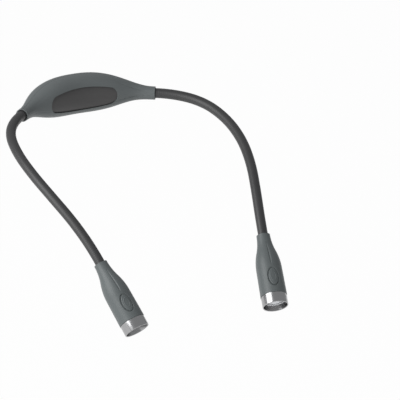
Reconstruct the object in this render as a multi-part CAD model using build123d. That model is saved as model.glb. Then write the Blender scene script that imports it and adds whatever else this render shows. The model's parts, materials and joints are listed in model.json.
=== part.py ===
from build123d import *
from collections import namedtuple
from math import copysign, cos, pi, radians, sin
import os

# Neck reading light in the pose in which it is worn. Sizes are millimetres and degrees.
# X points right, Y to the back of the neck and Z up.
# The origin is the middle of the wearer's neck, level with the two collars of the housing.

# Neck housing: a crescent swept along an arc that ends in two short straight runs
COLLAR_HALF_SPAN = 61.6
COLLARS_BEHIND_NECK = 50.0
COLLAR_YAW = 54.0
COLLAR_RADIUS = 5.35
HOUSING_ARC_RADIUS = 88.0
CROWN_HEIGHT = 18.4
BELLY_DEPTH = 13.6
HALF_THICKNESS = 14.0
SQUARENESS = 2.3
CROWN_SWELL = (2.8, 2.6)
BELLY_SWELL = (3.5, 4.8)
THICKNESS_SWELL = (4.4, 5.0)
HOUSING_SECTIONS = 18
SECTION_POINTS = 24
SHELL_WALL = 1.7
FLUTE_START = 33.0
FLUTE_END = 61.0
FLUTE_DEPTH = 0.4
FLUTE_SECTIONS = 8
FLUTE_HALF_ANGLE = 5.0
FLUTE_ANGLES = ((128.0, 152.0), (206.0, 196.0))
CAVITY_FROM_MOUTH = 14.0
COLLAR_BORE_RADIUS = 4.5
COLLAR_BORE_DEPTH = 9.0
FLUTE_SHAPE = (0.05, 0.9, 0.5)

# Hard panel let into the face that lies against the neck
PANEL_HALF_WIDTH = 30.5
PANEL_TOP = 10.8
PANEL_BOTTOM = -8.4
PANEL_SHOULDER_X = 23.0
PANEL_TOP_SHOULDER = 8.7
PANEL_BOTTOM_SHOULDER = -6.6
PANEL_CORNER = 3.5
PANEL_GAP = 0.45
PANEL_THICKNESS = 1.6
PANEL_FLOOR = 1.3
PANEL_RECESS = 0.5
PANEL_SECTIONS = 8
FLOOR_MARGIN = 6.0
FLOOR_OVERRUN = 4.0

# Housing screws, under the panel
SCREW_X = 26.6
SCREW_Z = 1.6
SCREW_SHANK_RADIUS = 0.95
SCREW_HOLE_RADIUS = 1.0
SCREW_HEAD_RADIUS = 1.9
SCREW_HEAD_HEIGHT = 1.2
SCREW_LENGTH = 14.0
SCREW_HOLE_SPARE = 0.5
SCREW_HEAD_CLEARANCE = 0.1
SCREW_SINK = 4.0
BOSS_RADIUS = 2.6

# Battery and charging electronics
CELL_RADIUS = 7.0
CELL_LENGTH = 43.0
CELL_Y = 72.6
CELL_Z = 3.2
CELL_EDGE_RADIUS = 0.8
TAB_THICKNESS = 0.2
TAB_WIDTH = 4.0
TAB_TOP = 5.2
TAB_FOOT_X = 14.0
RIB_X = 14.0
RIB_THICKNESS = 1.6
BOARD_LENGTH = 34.0
BOARD_DEPTH = 9.8
BOARD_THICKNESS = 1.2
BOARD_CORNER = 1.0
BOARD_Y = 75.5
BOARD_NOSE_WIDTH = 13.0
BOARD_NOSE_Y = 81.8
POST_X = 12.0
POST_Y = 77.5
POST_RADIUS = 1.5
BOARD_TOP = -7.4
PORT_WIDTH = 8.94
PORT_HEIGHT = 3.2
PORT_DEPTH = 7.3
PORT_WALL = 0.3
PORT_CLEARANCE = 0.25
PORT_SETBACK = 0.5
PORT_BACK_WALL = 1.0
TONGUE_BLOCK = 0.8
TONGUE_WIDTH = 6.7
TONGUE_THICKNESS = 0.7
TONGUE_LENGTH = 4.5
GUIDE_X = 9.5
GUIDE_RADIUS = 1.2
GUIDE_Y = 78.4
GUIDE_FOOT = 1.6
GUIDE_FOOT_HEIGHT = 1.0

# Goosenecks: seven equal arcs each. Headings hold at the arcs' ends:
# yaw outwards from straight ahead, and pitch below the horizon.
LINK_LENGTH = 27.1
LINK_YAWS = (COLLAR_YAW, 39.0, 15.0, 0.0, -12.0, -20.0, -20.0, -16.0)
LINK_PITCHES = (0.0, 8.0, 18.0, 24.0, 30.0, 36.0, 43.0, 49.0)
SLEEVE_RADIUS = 4.0
SPINE_RADIUS = 2.5
SPINE_BORE = 1.15
SPINE_CLEARANCE = 0.1
SOCKET_GAP = 0.3
SLEEVE_TUCK = 8.0
SPINE_TUCK = 13.6
FLANGE_RADIUS = 3.6
FLANGE_THICKNESS = 1.5
LEAD_RADIUS = 0.8
LEAD_END_Y = 78.1
LEAD_LOOP = 7.5
LEAD_STRAIGHT = 3.0
LEAD_BEND_SHARE = 0.45

# Lamp heads, along their own axis from the neck end
HEAD_LENGTH = 62.0
HEAD_NECK_RADIUS = 5.5
HEAD_WAIST_RADIUS = 46.9
HEAD_WAIST_TURN = 18.4
HEAD_SHOULDER_RADIUS = 49.0
HEAD_TAPER = 0.8
GRIP_LENGTH = 53.3
GRIP_THICKNESS = 1.5
GRIP_BORE_RADIUS = 4.35
BARREL_WALL = 1.5
BARREL_START = 8.6
BARREL_CAVITY_START = 11.6
SPIGOT_RADIUS = 9.0
SPIGOT_END = 55.2
BEZEL_RADIUS = 10.4
BEZEL_START = 53.45
BEZEL_THROAT_RADIUS = 8.7
BEZEL_RIM_RADIUS = 9.5
BEZEL_RIM_ROUNDING = 0.36
LENS_RADIUS = 9.1
LENS_BACK = 56.1
LENS_THICKNESS = 1.3
REFLECTOR_MOUTH_RADIUS = 7.3
REFLECTOR_THROAT_RADIUS = 2.5
REFLECTOR_BACK = 50.0
REFLECTOR_BELLY_RADIUS = 5.25
REFLECTOR_BELLY_DEPTH = 3.2
REFLECTOR_WALL = 0.6
REFLECTOR_CLEARANCE = 0.3
REFLECTOR_PLAY = 0.02
LED_BOARD_RADIUS = 7.2
LED_BOARD_BACK = 48.5
LED_BOARD_THICKNESS = 1.2
LEDGE_WIDTH = 1.2
LEDGE_LIP = 1.0
EMITTER_SIDE = 3.2
EMITTER_BASE = 0.5
EMITTER_DOME_RADIUS = 1.3

# Push button on each head
BUTTON_ROLL = {"left": 24.0, "right": 0.0}
BUTTON_POSITION = 40.0
BUTTON_LENGTH = 14.5
BUTTON_WIDTH = 7.4
BUTTON_PROUD = 0.25
BUTTON_GAP = 0.3
BUTTON_TRAVEL = 0.5
DISH_LENGTH = 17.4
DISH_WIDTH = 9.8
DISH_DEPTH = 0.6
CREASE_START = 5.0
CREASE_END = 32.5
CREASE_DEPTH = 0.5
CREASE_HALF_WIDTH = 0.9
CREASE_SECTIONS = 8
CREASE_SHAPE = (0.06, 0.5, 0.5)
RELIEF_HEIGHT = 0.15
RELIEF_SHARE = 0.54
RELIEF_WIDTH = 0.7
FLANGE_LIP = 0.6
FLANGE_TOP = 7.0
FLANGE_PLATE = 0.7
STEM_RADIUS = 1.2
STEM_GAP = 0.1
STEM_CLEARANCE = 0.3
SWITCH_BOARD_TOP = 4.2
SWITCH_BOARD_THICKNESS = 1.0
SWITCH_BOARD_WIDTH = 10.0
SWITCH_BOARD_START = 24.0
SWITCH_BOARD_END = 45.4
SWITCH_LENGTH = 6.0
SWITCH_WIDTH = 4.4
SWITCH_HEIGHT = 1.4
SWITCH_WELL_DEPTH = BUTTON_TRAVEL + 0.4
SHELF_WIDTH = 2.0
SHELF_DEPTH = 2.0

# Clearance of pieces seated in each other, how far a cut runs past what it cuts, and out of reach
SNUG = 0.05
OVERCUT = 1.0
FAR = 200.0

ARC_HALF_ANGLE = 90 - COLLAR_YAW
HALF_ARC = HOUSING_ARC_RADIUS * radians(ARC_HALF_ANGLE)
COLLAR_RUN = (
    COLLAR_HALF_SPAN - HOUSING_ARC_RADIUS * sin(radians(ARC_HALF_ANGLE))
) / cos(radians(ARC_HALF_ANGLE))
HALF_LENGTH = HALF_ARC + COLLAR_RUN
ARC_CENTRE_Y = (
    COLLARS_BEHIND_NECK
    + COLLAR_RUN * sin(radians(ARC_HALF_ANGLE))
    - HOUSING_ARC_RADIUS * cos(radians(ARC_HALF_ANGLE))
)

parts = {}


def across(s):
    """Plane square to the housing's centreline, s from its middle: X outwards, Y up."""
    side = copysign(1, s)
    turn = min(abs(s), HALF_ARC) / HOUSING_ARC_RADIUS
    beyond = max(abs(s) - HALF_ARC, 0)
    origin = Vector(
        side * (HOUSING_ARC_RADIUS * sin(turn) + beyond * cos(turn)),
        ARC_CENTRE_Y + HOUSING_ARC_RADIUS * cos(turn) - beyond * sin(turn),
        0,
    )
    outwards = (side * sin(turn), cos(turn), 0)
    onwards = (cos(turn), -side * sin(turn), 0)
    return Plane(origin=origin, x_dir=outwards, z_dir=onwards)


def swell(t, reach, hold):
    """Share of the full swelling at t, which is 0 at a collar's mouth and 1 in the middle."""
    return (1 - (1 - t) ** reach) ** hold


def power(value, exponent):
    return copysign(abs(value) ** exponent, value)


def fade(share, start, run, exponent):
    """Share of a groove's full depth, share of the way along it."""
    return sin(pi * (start + run * share)) ** exponent


def section_point(s, angle, inset):
    """Point of the housing's section, angle round from straight outwards, drawn in by inset."""
    t = 1 - abs(s) / HALF_LENGTH
    crown = COLLAR_RADIUS + (CROWN_HEIGHT - COLLAR_RADIUS) * swell(t, *CROWN_SWELL)
    belly = COLLAR_RADIUS + (BELLY_DEPTH - COLLAR_RADIUS) * swell(t, *BELLY_SWELL)
    half_thickness = COLLAR_RADIUS + (HALF_THICKNESS - COLLAR_RADIUS) * swell(t, *THICKNESS_SWELL)
    half_height = (crown + belly) / 2
    exponent = 2 / (2 + (SQUARENESS - 2) * swell(t, *CROWN_SWELL))
    outwards = (half_thickness - inset) * power(cos(radians(angle)), exponent)
    upwards = (half_height - inset) * power(sin(radians(angle)), exponent)
    return outwards, upwards + (crown - belly) / 2


def housing_section(s, inset):
    """Rounded section of the housing, s from its middle, drawn in by inset."""
    outline = [section_point(s, 360 / SECTION_POINTS * i, inset) for i in range(SECTION_POINTS)]
    return across(s) * make_face(Spline(*outline, periodic=True))


def flute(end, near_angle, far_angle):
    """V groove in the skin from beside the panel to a collar, end being -1 for left or 1 for right."""
    sections = []
    for i in range(FLUTE_SECTIONS + 1):
        share = i / FLUTE_SECTIONS
        s = end * (FLUTE_START + (FLUTE_END - FLUTE_START) * share)
        angle = near_angle + (far_angle - near_angle) * share
        depth = FLUTE_DEPTH * fade(share, *FLUTE_SHAPE)
        spread = FLUTE_HALF_ANGLE * (1 + share)
        corners = [
            section_point(s, angle - spread, -FLUTE_DEPTH),
            section_point(s, angle + spread, -FLUTE_DEPTH),
            section_point(s, angle, depth),
        ]
        sections.append(across(s) * make_face(Polyline(*corners, close=True)))
    return loft(sections)


def housing_body(inset=0.0, reach=HALF_LENGTH, sections=HOUSING_SECTIONS):
    """The housing's solid form, drawn in by inset, for reach each way from its middle."""
    step = 2 * reach / sections
    return loft([housing_section(-reach + step * i, inset) for i in range(sections + 1)])


def neck_side():
    """Everything in front of the parting line, which follows the housing's centreline."""
    ends = [across(s).origin for s in (-HALF_LENGTH, HALF_LENGTH)]
    joins = [across(s).origin for s in (-HALF_ARC, HALF_ARC)]
    crest = across(0).origin
    past = COLLAR_RUN / 2
    far_left = ends[0] - across(-HALF_LENGTH).z_dir * past
    far_right = ends[1] + across(HALF_LENGTH).z_dir * past
    front_left = Vector(far_left.X, -FAR / 2, 0)
    front_right = Vector(far_right.X, -FAR / 2, 0)
    edges = [
        Line(far_left, joins[0]),
        ThreePointArc(joins[0], crest, joins[1]),
        Line(joins[1], far_right),
        Line(far_right, front_right),
        Line(front_right, front_left),
        Line(front_left, far_left),
    ]
    return Pos(0, 0, -FAR / 2) * extrude(make_face(edges), FAR)


def panel_prism(grow):
    """The panel's outline as a bar along Y, grown all round by grow."""
    left_top = (-PANEL_SHOULDER_X, PANEL_TOP_SHOULDER)
    right_top = (PANEL_SHOULDER_X, PANEL_TOP_SHOULDER)
    left_bottom = (-PANEL_SHOULDER_X, PANEL_BOTTOM_SHOULDER)
    right_bottom = (PANEL_SHOULDER_X, PANEL_BOTTOM_SHOULDER)
    middle = (PANEL_TOP_SHOULDER + PANEL_BOTTOM_SHOULDER) / 2
    edges = [
        ThreePointArc(left_top, (0, PANEL_TOP), right_top),
        ThreePointArc(right_top, (PANEL_HALF_WIDTH, middle), right_bottom),
        ThreePointArc(right_bottom, (0, PANEL_BOTTOM), left_bottom),
        ThreePointArc(left_bottom, (-PANEL_HALF_WIDTH, middle), left_top),
    ]
    outline = make_face(edges)
    outline = fillet(outline.vertices(), PANEL_CORNER)
    outline = offset(outline, grow)
    face = Plane(origin=(0, 0, 0), x_dir=(1, 0, 0), z_dir=(0, -1, 0)) * outline
    return extrude(face, amount=-across(0).origin.Y)


def along_y(x, z, radius, start, end):
    """Round bar along Y."""
    bar = Cylinder(radius, end - start)
    return Pos(x, (start + end) / 2, z) * Rot(90, 0, 0) * bar


def collar_cuts():
    """Bores at both collars for the sleeve, the spine and the spine's flange."""
    cuts = []
    for end, turn in ((-HALF_LENGTH, 0), (HALF_LENGTH, 180)):
        mouth = across(end) * Rot(0, turn, 0)
        flange_start = SPINE_TUCK - FLANGE_THICKNESS
        for radius, start, depth in (
            (COLLAR_BORE_RADIUS, -OVERCUT, COLLAR_BORE_DEPTH),
            (SPINE_RADIUS + SPINE_CLEARANCE, 0.0, CAVITY_FROM_MOUTH + OVERCUT),
            (FLANGE_RADIUS + SPINE_CLEARANCE, flange_start - SPINE_CLEARANCE, CAVITY_FROM_MOUTH + OVERCUT),
        ):
            bore = Cylinder(radius, depth - start)
            cuts.append(mouth * Pos(0, 0, (start + depth) / 2) * bore)
    return cuts


def port_prism(grow, start, end):
    """The charge port's rounded outline as a bar along Y, grown by grow."""
    outline = SlotOverall(PORT_WIDTH + 2 * grow, PORT_HEIGHT + 2 * grow)
    place = Plane(origin=(0, start, BOARD_TOP + PORT_HEIGHT / 2), x_dir=(-1, 0, 0), z_dir=(0, 1, 0))
    return extrude(place * outline, end - start)


def rear_wall_y():
    """Where the housing's rear face stands behind the charge port."""
    probe = port_prism(0, BOARD_Y, BOARD_Y + FAR) & housing_body()
    return probe.bounding_box().max.Y


def make_housing():
    body = housing_body()
    hollow = housing_body(SHELL_WALL, HALF_LENGTH - CAVITY_FROM_MOUTH)
    front = neck_side()
    bores = collar_cuts()
    wall = body - hollow - bores

    reach = PANEL_HALF_WIDTH + FLOOR_MARGIN
    beyond = reach + FLOOR_OVERRUN
    under_panel = PANEL_RECESS + PANEL_THICKNESS + SNUG
    below_floor = housing_body(under_panel + PANEL_FLOOR, beyond, PANEL_SECTIONS)
    floor = (housing_body(SHELL_WALL / 2, reach, PANEL_SECTIONS) - below_floor) & panel_prism(PANEL_FLOOR)
    above_floor = housing_body(-OVERCUT, reach, PANEL_SECTIONS)
    above_floor -= housing_body(under_panel, beyond, PANEL_SECTIONS)
    front_shell = (wall & front) + floor - (panel_prism(0) & above_floor)
    for end in (-1, 1):
        for angles in FLUTE_ANGLES:
            front_shell = front_shell - flute(end, *angles)

    rear_shell = wall - front
    face_y = rear_wall_y()
    boss_start = across(0).origin.Y - HALF_THICKNESS
    inner = housing_body(SHELL_WALL / 2, reach, PANEL_SECTIONS) - front_shell
    for x in (-SCREW_X, SCREW_X):
        boss = along_y(x, SCREW_Z, BOSS_RADIUS, boss_start, face_y) & inner
        rear_shell = rear_shell + boss
    cell = Pos(0, CELL_Y, CELL_Z) * Rot(0, 90, 0) * Cylinder(CELL_RADIUS + SNUG, CELL_LENGTH)
    for x in (-RIB_X, RIB_X):
        slab = Pos(x, CELL_Y + FAR / 2, BOARD_TOP + PORT_HEIGHT + FAR / 2) * Box(RIB_THICKNESS, FAR, FAR)
        rear_shell = rear_shell + ((slab & inner) - cell)
    for x in (-POST_X, POST_X):
        post_top = BOARD_TOP - BOARD_THICKNESS
        post = Pos(x, POST_Y, post_top - BELLY_DEPTH / 2) * Cylinder(POST_RADIUS, BELLY_DEPTH)
        rear_shell = rear_shell + (post & inner)
    guide_z = BOARD_TOP + PORT_HEIGHT / 2
    rear_shell = rear_shell - port_prism(PORT_CLEARANCE, BOARD_Y, face_y + OVERCUT)
    rear_shell = rear_shell - along_y(GUIDE_X, guide_z, GUIDE_RADIUS + SNUG, BOARD_Y, face_y + OVERCUT)

    panel = housing_body(PANEL_RECESS, reach, PANEL_SECTIONS)
    panel -= housing_body(PANEL_RECESS + PANEL_THICKNESS, beyond, PANEL_SECTIONS)
    panel = panel_prism(-PANEL_GAP) & panel

    screws = []
    for x in (-SCREW_X, SCREW_X):
        seat = along_y(x, SCREW_Z, SCREW_HEAD_RADIUS, 0, FAR) & floor
        head_y = seat.bounding_box().max.Y
        head = along_y(x, SCREW_Z, SCREW_HEAD_RADIUS, head_y - SCREW_HEAD_HEIGHT, head_y)
        shank = along_y(x, SCREW_Z, SCREW_SHANK_RADIUS, head_y, head_y + SCREW_LENGTH)
        hole_end = head_y + SCREW_LENGTH + SCREW_HOLE_SPARE
        hole = along_y(x, SCREW_Z, SCREW_HOLE_RADIUS, head_y - SCREW_SINK, hole_end)
        sink = along_y(x, SCREW_Z, SCREW_HEAD_RADIUS + SCREW_HEAD_CLEARANCE, head_y - SCREW_SINK, head_y)
        front_shell = front_shell - hole - sink
        rear_shell = rear_shell - hole - sink
        screws.append(head + shank)

    parts["rear_shell"] = rear_shell
    parts["front_shell"] = front_shell
    parts["pad_panel"] = panel
    parts["housing_screws"] = Compound(screws)


def make_electronics():
    cell = Pos(0, CELL_Y, CELL_Z) * Rot(0, 90, 0) * Cylinder(CELL_RADIUS, CELL_LENGTH)
    cell = fillet(cell.edges().filter_by(GeomType.CIRCLE), CELL_EDGE_RADIUS)
    parts["battery_cell"] = cell

    tabs = []
    for side in (-1, 1):
        inner_x = CELL_LENGTH / 2
        outer_x = inner_x + TAB_THICKNESS
        strip_x = side * (inner_x + outer_x) / 2
        strip = Box(TAB_THICKNESS, TAB_WIDTH, TAB_TOP - BOARD_TOP)
        foot_x = side * (outer_x + TAB_FOOT_X) / 2
        foot = Box(outer_x - TAB_FOOT_X, TAB_WIDTH, TAB_THICKNESS)
        strip = Pos(strip_x, CELL_Y, (TAB_TOP + BOARD_TOP) / 2) * strip
        tabs.append(strip + Pos(foot_x, CELL_Y, BOARD_TOP + TAB_THICKNESS / 2) * foot)
    parts["battery_tabs"] = Compound(tabs)

    board_height = BOARD_TOP - BOARD_THICKNESS / 2
    board = Pos(0, BOARD_Y, board_height) * Box(BOARD_LENGTH, BOARD_DEPTH, BOARD_THICKNESS)
    board = fillet(board.edges().filter_by(Axis.Z), BOARD_CORNER)
    nose = Pos(0, (BOARD_Y + BOARD_NOSE_Y) / 2, board_height) * Box(
        BOARD_NOSE_WIDTH, BOARD_NOSE_Y - BOARD_Y, BOARD_THICKNESS
    )
    parts["charge_board"] = board + nose

    mouth = rear_wall_y() - PORT_SETBACK
    back = mouth - PORT_DEPTH
    block_start = back + PORT_BACK_WALL
    blade_start = block_start + TONGUE_BLOCK
    parts["usb_c_shell"] = port_prism(0, back, mouth) - port_prism(-PORT_WALL, block_start, mouth + OVERCUT)
    tongue_height = BOARD_TOP + PORT_HEIGHT / 2
    block = port_prism(-PORT_WALL - SNUG, block_start, blade_start)
    blade = Pos(0, blade_start + TONGUE_LENGTH / 2, tongue_height) * Box(
        TONGUE_WIDTH, TONGUE_LENGTH, TONGUE_THICKNESS
    )
    parts["usb_c_tongue"] = block + blade

    guide = along_y(GUIDE_X, tongue_height, GUIDE_RADIUS, GUIDE_Y, GUIDE_Y + FAR) & housing_body()
    foot = Pos(GUIDE_X, GUIDE_Y + GUIDE_FOOT / 2, BOARD_TOP + GUIDE_FOOT_HEIGHT / 2) * Box(
        2 * GUIDE_RADIUS, GUIDE_FOOT, GUIDE_FOOT_HEIGHT
    )
    parts["charge_light_guide"] = guide + foot


def heading(index):
    """Direction of the right gooseneck at one of its eight stations."""
    yaw = radians(LINK_YAWS[index])
    pitch = radians(LINK_PITCHES[index])
    return Vector(sin(yaw) * cos(pitch), -cos(yaw) * cos(pitch), -sin(pitch))


Link = namedtuple("Link", "start, along, end, end_along, axis, turn, radius")


def gooseneck_links():
    """The right gooseneck's seven arcs, from the collar's mouth to the lamp head's neck."""
    links = []
    point = Vector(COLLAR_HALF_SPAN, COLLARS_BEHIND_NECK, 0)
    for index in range(len(LINK_YAWS) - 1):
        along, end_along = heading(index), heading(index + 1)
        turn = along.get_angle(end_along)
        radius = LINK_LENGTH / radians(turn)
        normal = along.cross(end_along).normalized()
        inwards = normal.cross(along)
        axis = Axis(point + inwards * radius, normal)
        end = point + radius * (inwards * (1 - cos(radians(turn))) + along * sin(radians(turn)))
        links.append(Link(point, along, end, end_along, axis, turn, radius))
        point = end
    return links


def arc_tube(link, radius):
    """Round bar along a link's arc."""
    return revolve(Plane(origin=link.start, z_dir=link.along) * Circle(radius), link.axis, link.turn)


def straight_tube(origin, along, radius, start, end):
    """Round bar along a direction, from start to end beyond the origin."""
    plane = Plane(origin=origin, z_dir=along)
    return plane * Pos(0, 0, (start + end) / 2) * Cylinder(radius, end - start)


def domed_tube(link, radius, ball_radius):
    """A link's bar whose near end reaches back over the joint as part of a ball."""
    stub = straight_tube(link.start, link.along, radius, -ball_radius - OVERCUT, 0)
    ball = Pos(link.start) * Sphere(ball_radius)
    return arc_tube(link, radius) + (stub & ball)


def make_gooseneck(side):
    """Seven sleeves with the steel spine in each, ball to socket, and the lead through them."""
    links = gooseneck_links()
    last = len(links) - 1
    for index, link in enumerate(links):
        sleeve_bore = SPINE_RADIUS + SPINE_CLEARANCE
        if index == 0:
            sleeve = arc_tube(link, SLEEVE_RADIUS) + straight_tube(
                link.start, link.along, SLEEVE_RADIUS, -SLEEVE_TUCK, 0
            )
            spine = arc_tube(link, SPINE_RADIUS) + straight_tube(
                link.start, link.along, SPINE_RADIUS, -SPINE_TUCK, 0
            )
            spine += straight_tube(
                link.start, link.along, FLANGE_RADIUS, -SPINE_TUCK, FLANGE_THICKNESS - SPINE_TUCK
            )
        else:
            sleeve = domed_tube(link, SLEEVE_RADIUS, SLEEVE_RADIUS)
            spine = domed_tube(link, SPINE_RADIUS, SLEEVE_RADIUS)
        if index == last:
            sleeve += straight_tube(link.end, link.end_along, SLEEVE_RADIUS, 0, SLEEVE_TUCK)
            spine += straight_tube(link.end, link.end_along, SPINE_RADIUS, 0, SPINE_TUCK)
            spine += straight_tube(
                link.end, link.end_along, FLANGE_RADIUS, SPINE_TUCK - FLANGE_THICKNESS, SPINE_TUCK
            )
        else:
            socket = Pos(link.end) * Sphere(SLEEVE_RADIUS + SOCKET_GAP)
            sleeve -= socket
            spine -= socket
        before = straight_tube(link.start, link.along, sleeve_bore, -SPINE_TUCK, 0)
        after = straight_tube(link.end, link.end_along, sleeve_bore, 0, SPINE_TUCK)
        sleeve = sleeve - (before + arc_tube(link, sleeve_bore) + after)
        before = straight_tube(link.start, link.along, SPINE_BORE, -SPINE_TUCK - OVERCUT, 0)
        after = straight_tube(link.end, link.end_along, SPINE_BORE, 0, SPINE_TUCK + OVERCUT)
        spine = spine - (before + arc_tube(link, SPINE_BORE) + after)
        parts[f"{side}_sleeve_{index + 1}"] = on_side(sleeve, side)
        parts[f"{side}_spine_{index + 1}"] = on_side(spine, side)


def on_side(shape, side):
    """The right gooseneck's piece as it is, or mirrored for the left."""
    return mirror(shape, about=Plane.YZ) if side == "left" else shape


def head_plane(side):
    """Frame of a lamp head: Z from its neck to its bezel, X out through its button."""
    end = gooseneck_links()[-1]
    flip = -1 if side == "left" else 1
    along = Vector(flip * end.end_along.X, end.end_along.Y, end.end_along.Z)
    origin = Vector(flip * end.end.X, end.end.Y, end.end.Z)
    upright = (Vector(0, 0, 1) - along * along.Z).normalized()
    button = upright.rotate(Axis((0, 0, 0), along), BUTTON_ROLL[side])
    return Plane(origin=origin, x_dir=button, z_dir=along)


def head_form(inset):
    """The grip's swelling form, drawn in by inset: a waist arc, a shoulder arc and a slight taper."""
    waist = JernArc((HEAD_NECK_RADIUS - inset, 0), (0, 1), HEAD_WAIST_RADIUS + inset, -HEAD_WAIST_TURN)
    shoulder = JernArc(waist @ 1, waist % 1, HEAD_SHOULDER_RADIUS - inset, HEAD_WAIST_TURN - HEAD_TAPER)
    flank_end = shoulder @ 1 + (shoulder % 1) * ((GRIP_LENGTH - (shoulder @ 1).Y) / (shoulder % 1).Y)
    flank = Line(shoulder @ 1, flank_end)
    edges = [waist, shoulder, flank, Line(flank_end, (0, GRIP_LENGTH)), Line((0, GRIP_LENGTH), (0, 0))]
    edges.append(Line((0, 0), waist @ 0))
    return revolve(Plane.XZ * make_face(edges), Axis.Z)


def head_radius(position):
    """Radius of the grip's form at a distance from its neck."""
    waist_end = HEAD_WAIST_RADIUS * sin(radians(HEAD_WAIST_TURN))
    if position < waist_end:
        return HEAD_NECK_RADIUS + HEAD_WAIST_RADIUS - (HEAD_WAIST_RADIUS**2 - position**2) ** 0.5
    neck = HEAD_NECK_RADIUS + HEAD_WAIST_RADIUS * (1 - cos(radians(HEAD_WAIST_TURN)))
    centre = neck - HEAD_SHOULDER_RADIUS * cos(radians(HEAD_WAIST_TURN))
    crest = waist_end + HEAD_SHOULDER_RADIUS * sin(radians(HEAD_WAIST_TURN))
    return centre + (HEAD_SHOULDER_RADIUS**2 - min(position - crest, 0) ** 2) ** 0.5


def crease():
    """V groove from the grip's neck to the dish about its button."""
    sections = []
    for i in range(CREASE_SECTIONS + 1):
        share = i / CREASE_SECTIONS
        position = CREASE_START + (CREASE_END - CREASE_START) * share
        radius = head_radius(position)
        size = fade(share, *CREASE_SHAPE)
        corners = [
            (radius + CREASE_DEPTH, -2 * CREASE_HALF_WIDTH * size),
            (radius + CREASE_DEPTH, 2 * CREASE_HALF_WIDTH * size),
            (radius - CREASE_DEPTH * size, 0),
        ]
        sections.append(Plane(origin=(0, 0, position)) * make_face(Polyline(*corners, close=True)))
    return loft(sections)


def ring(outer, start, end, inner=0.0):
    """Disc or ring on the head's axis."""
    disc = Pos(0, 0, (start + end) / 2) * Cylinder(outer, end - start)
    if inner:
        disc -= Pos(0, 0, (start + end) / 2) * Cylinder(inner, end - start + 2)
    return disc


def button_bar(length, width, bottom, top):
    """Oval bar through the button's place, standing out from the head's axis."""
    face = Plane(origin=(bottom, 0, BUTTON_POSITION), x_dir=(0, 0, 1), z_dir=(1, 0, 0)) * Ellipse(
        length / 2, width / 2
    )
    return extrude(face, top - bottom)


def make_grip():
    gap = 2 * BUTTON_GAP
    window = button_bar(BUTTON_LENGTH + gap, BUTTON_WIDTH + gap, 0, 2 * BEZEL_RADIUS)
    dish = button_bar(DISH_LENGTH, DISH_WIDTH, 0, 2 * BEZEL_RADIUS) - head_form(DISH_DEPTH)
    cavity = head_form(GRIP_THICKNESS) & ring(2 * BEZEL_RADIUS, BARREL_START - SNUG, HEAD_LENGTH)
    return head_form(0) - cavity - ring(GRIP_BORE_RADIUS, -OVERCUT, BARREL_START) - dish - crease() - window


def make_barrel():
    outer = head_form(GRIP_THICKNESS + SNUG) & ring(2 * BEZEL_RADIUS, BARREL_START, GRIP_LENGTH)
    barrel = outer + ring(SPIGOT_RADIUS, GRIP_LENGTH - OVERCUT, SPIGOT_END)
    inner_form = head_form(GRIP_THICKNESS + BARREL_WALL)
    cavity = inner_form & ring(2 * BEZEL_RADIUS, BARREL_CAVITY_START, HEAD_LENGTH)
    cavity += ring(REFLECTOR_MOUTH_RADIUS + REFLECTOR_CLEARANCE, GRIP_LENGTH - OVERCUT, HEAD_LENGTH)
    shelf_top = SWITCH_BOARD_TOP - SWITCH_BOARD_THICKNESS
    shelf = Pos(shelf_top - SHELF_DEPTH / 2, 0, (SWITCH_BOARD_START + SWITCH_BOARD_END) / 2) * Box(
        SHELF_DEPTH, 2 * BEZEL_RADIUS, SWITCH_BOARD_END - SWITCH_BOARD_START
    )
    between = Box(4 * BEZEL_RADIUS, SWITCH_BOARD_WIDTH - 2 * SHELF_WIDTH, 3 * HEAD_LENGTH)
    shelves = (shelf & inner_form) - between
    ledge_start = LED_BOARD_BACK - LEDGE_WIDTH
    ledge_outer = LED_BOARD_RADIUS + LEDGE_WIDTH / 2
    ledge = ring(ledge_outer, ledge_start, LED_BOARD_BACK, LED_BOARD_RADIUS - LEDGE_LIP)
    barrel = barrel - cavity + shelves + ledge
    spine_bore = SPINE_RADIUS + SPINE_CLEARANCE
    spine = ring(spine_bore, BARREL_START - OVERCUT, BARREL_CAVITY_START + OVERCUT)
    gap = 2 * BUTTON_GAP
    window = button_bar(BUTTON_LENGTH + gap, BUTTON_WIDTH + gap, FLANGE_TOP, 2 * BEZEL_RADIUS)
    lip = 2 * (FLANGE_LIP + BUTTON_GAP)
    pocket = button_bar(BUTTON_LENGTH + lip, BUTTON_WIDTH + lip, SWITCH_BOARD_TOP, FLANGE_TOP + BUTTON_GAP)
    return barrel - spine - window - pocket


def make_bezel():
    """Turned ring with a tapered mouth, seated on the barrel's spigot."""
    seat = LENS_BACK + LENS_THICKNESS + SNUG
    shoulder = SPIGOT_END - SNUG
    points = [
        (SPIGOT_RADIUS + SNUG, BEZEL_START),
        (BEZEL_RADIUS, BEZEL_START),
        (BEZEL_RADIUS, HEAD_LENGTH),
        (BEZEL_RIM_RADIUS, HEAD_LENGTH),
        (BEZEL_THROAT_RADIUS, seat),
        (LENS_RADIUS + SNUG, seat),
        (LENS_RADIUS + SNUG, shoulder),
        (SPIGOT_RADIUS + SNUG, shoulder),
    ]
    profile = make_face(Polyline(*points, close=True))
    rim = [v for v in profile.vertices() if v.Y > HEAD_LENGTH - SNUG]
    profile = fillet(rim, BEZEL_RIM_ROUNDING)
    return revolve(Plane.XZ * profile, Axis.Z)


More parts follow.
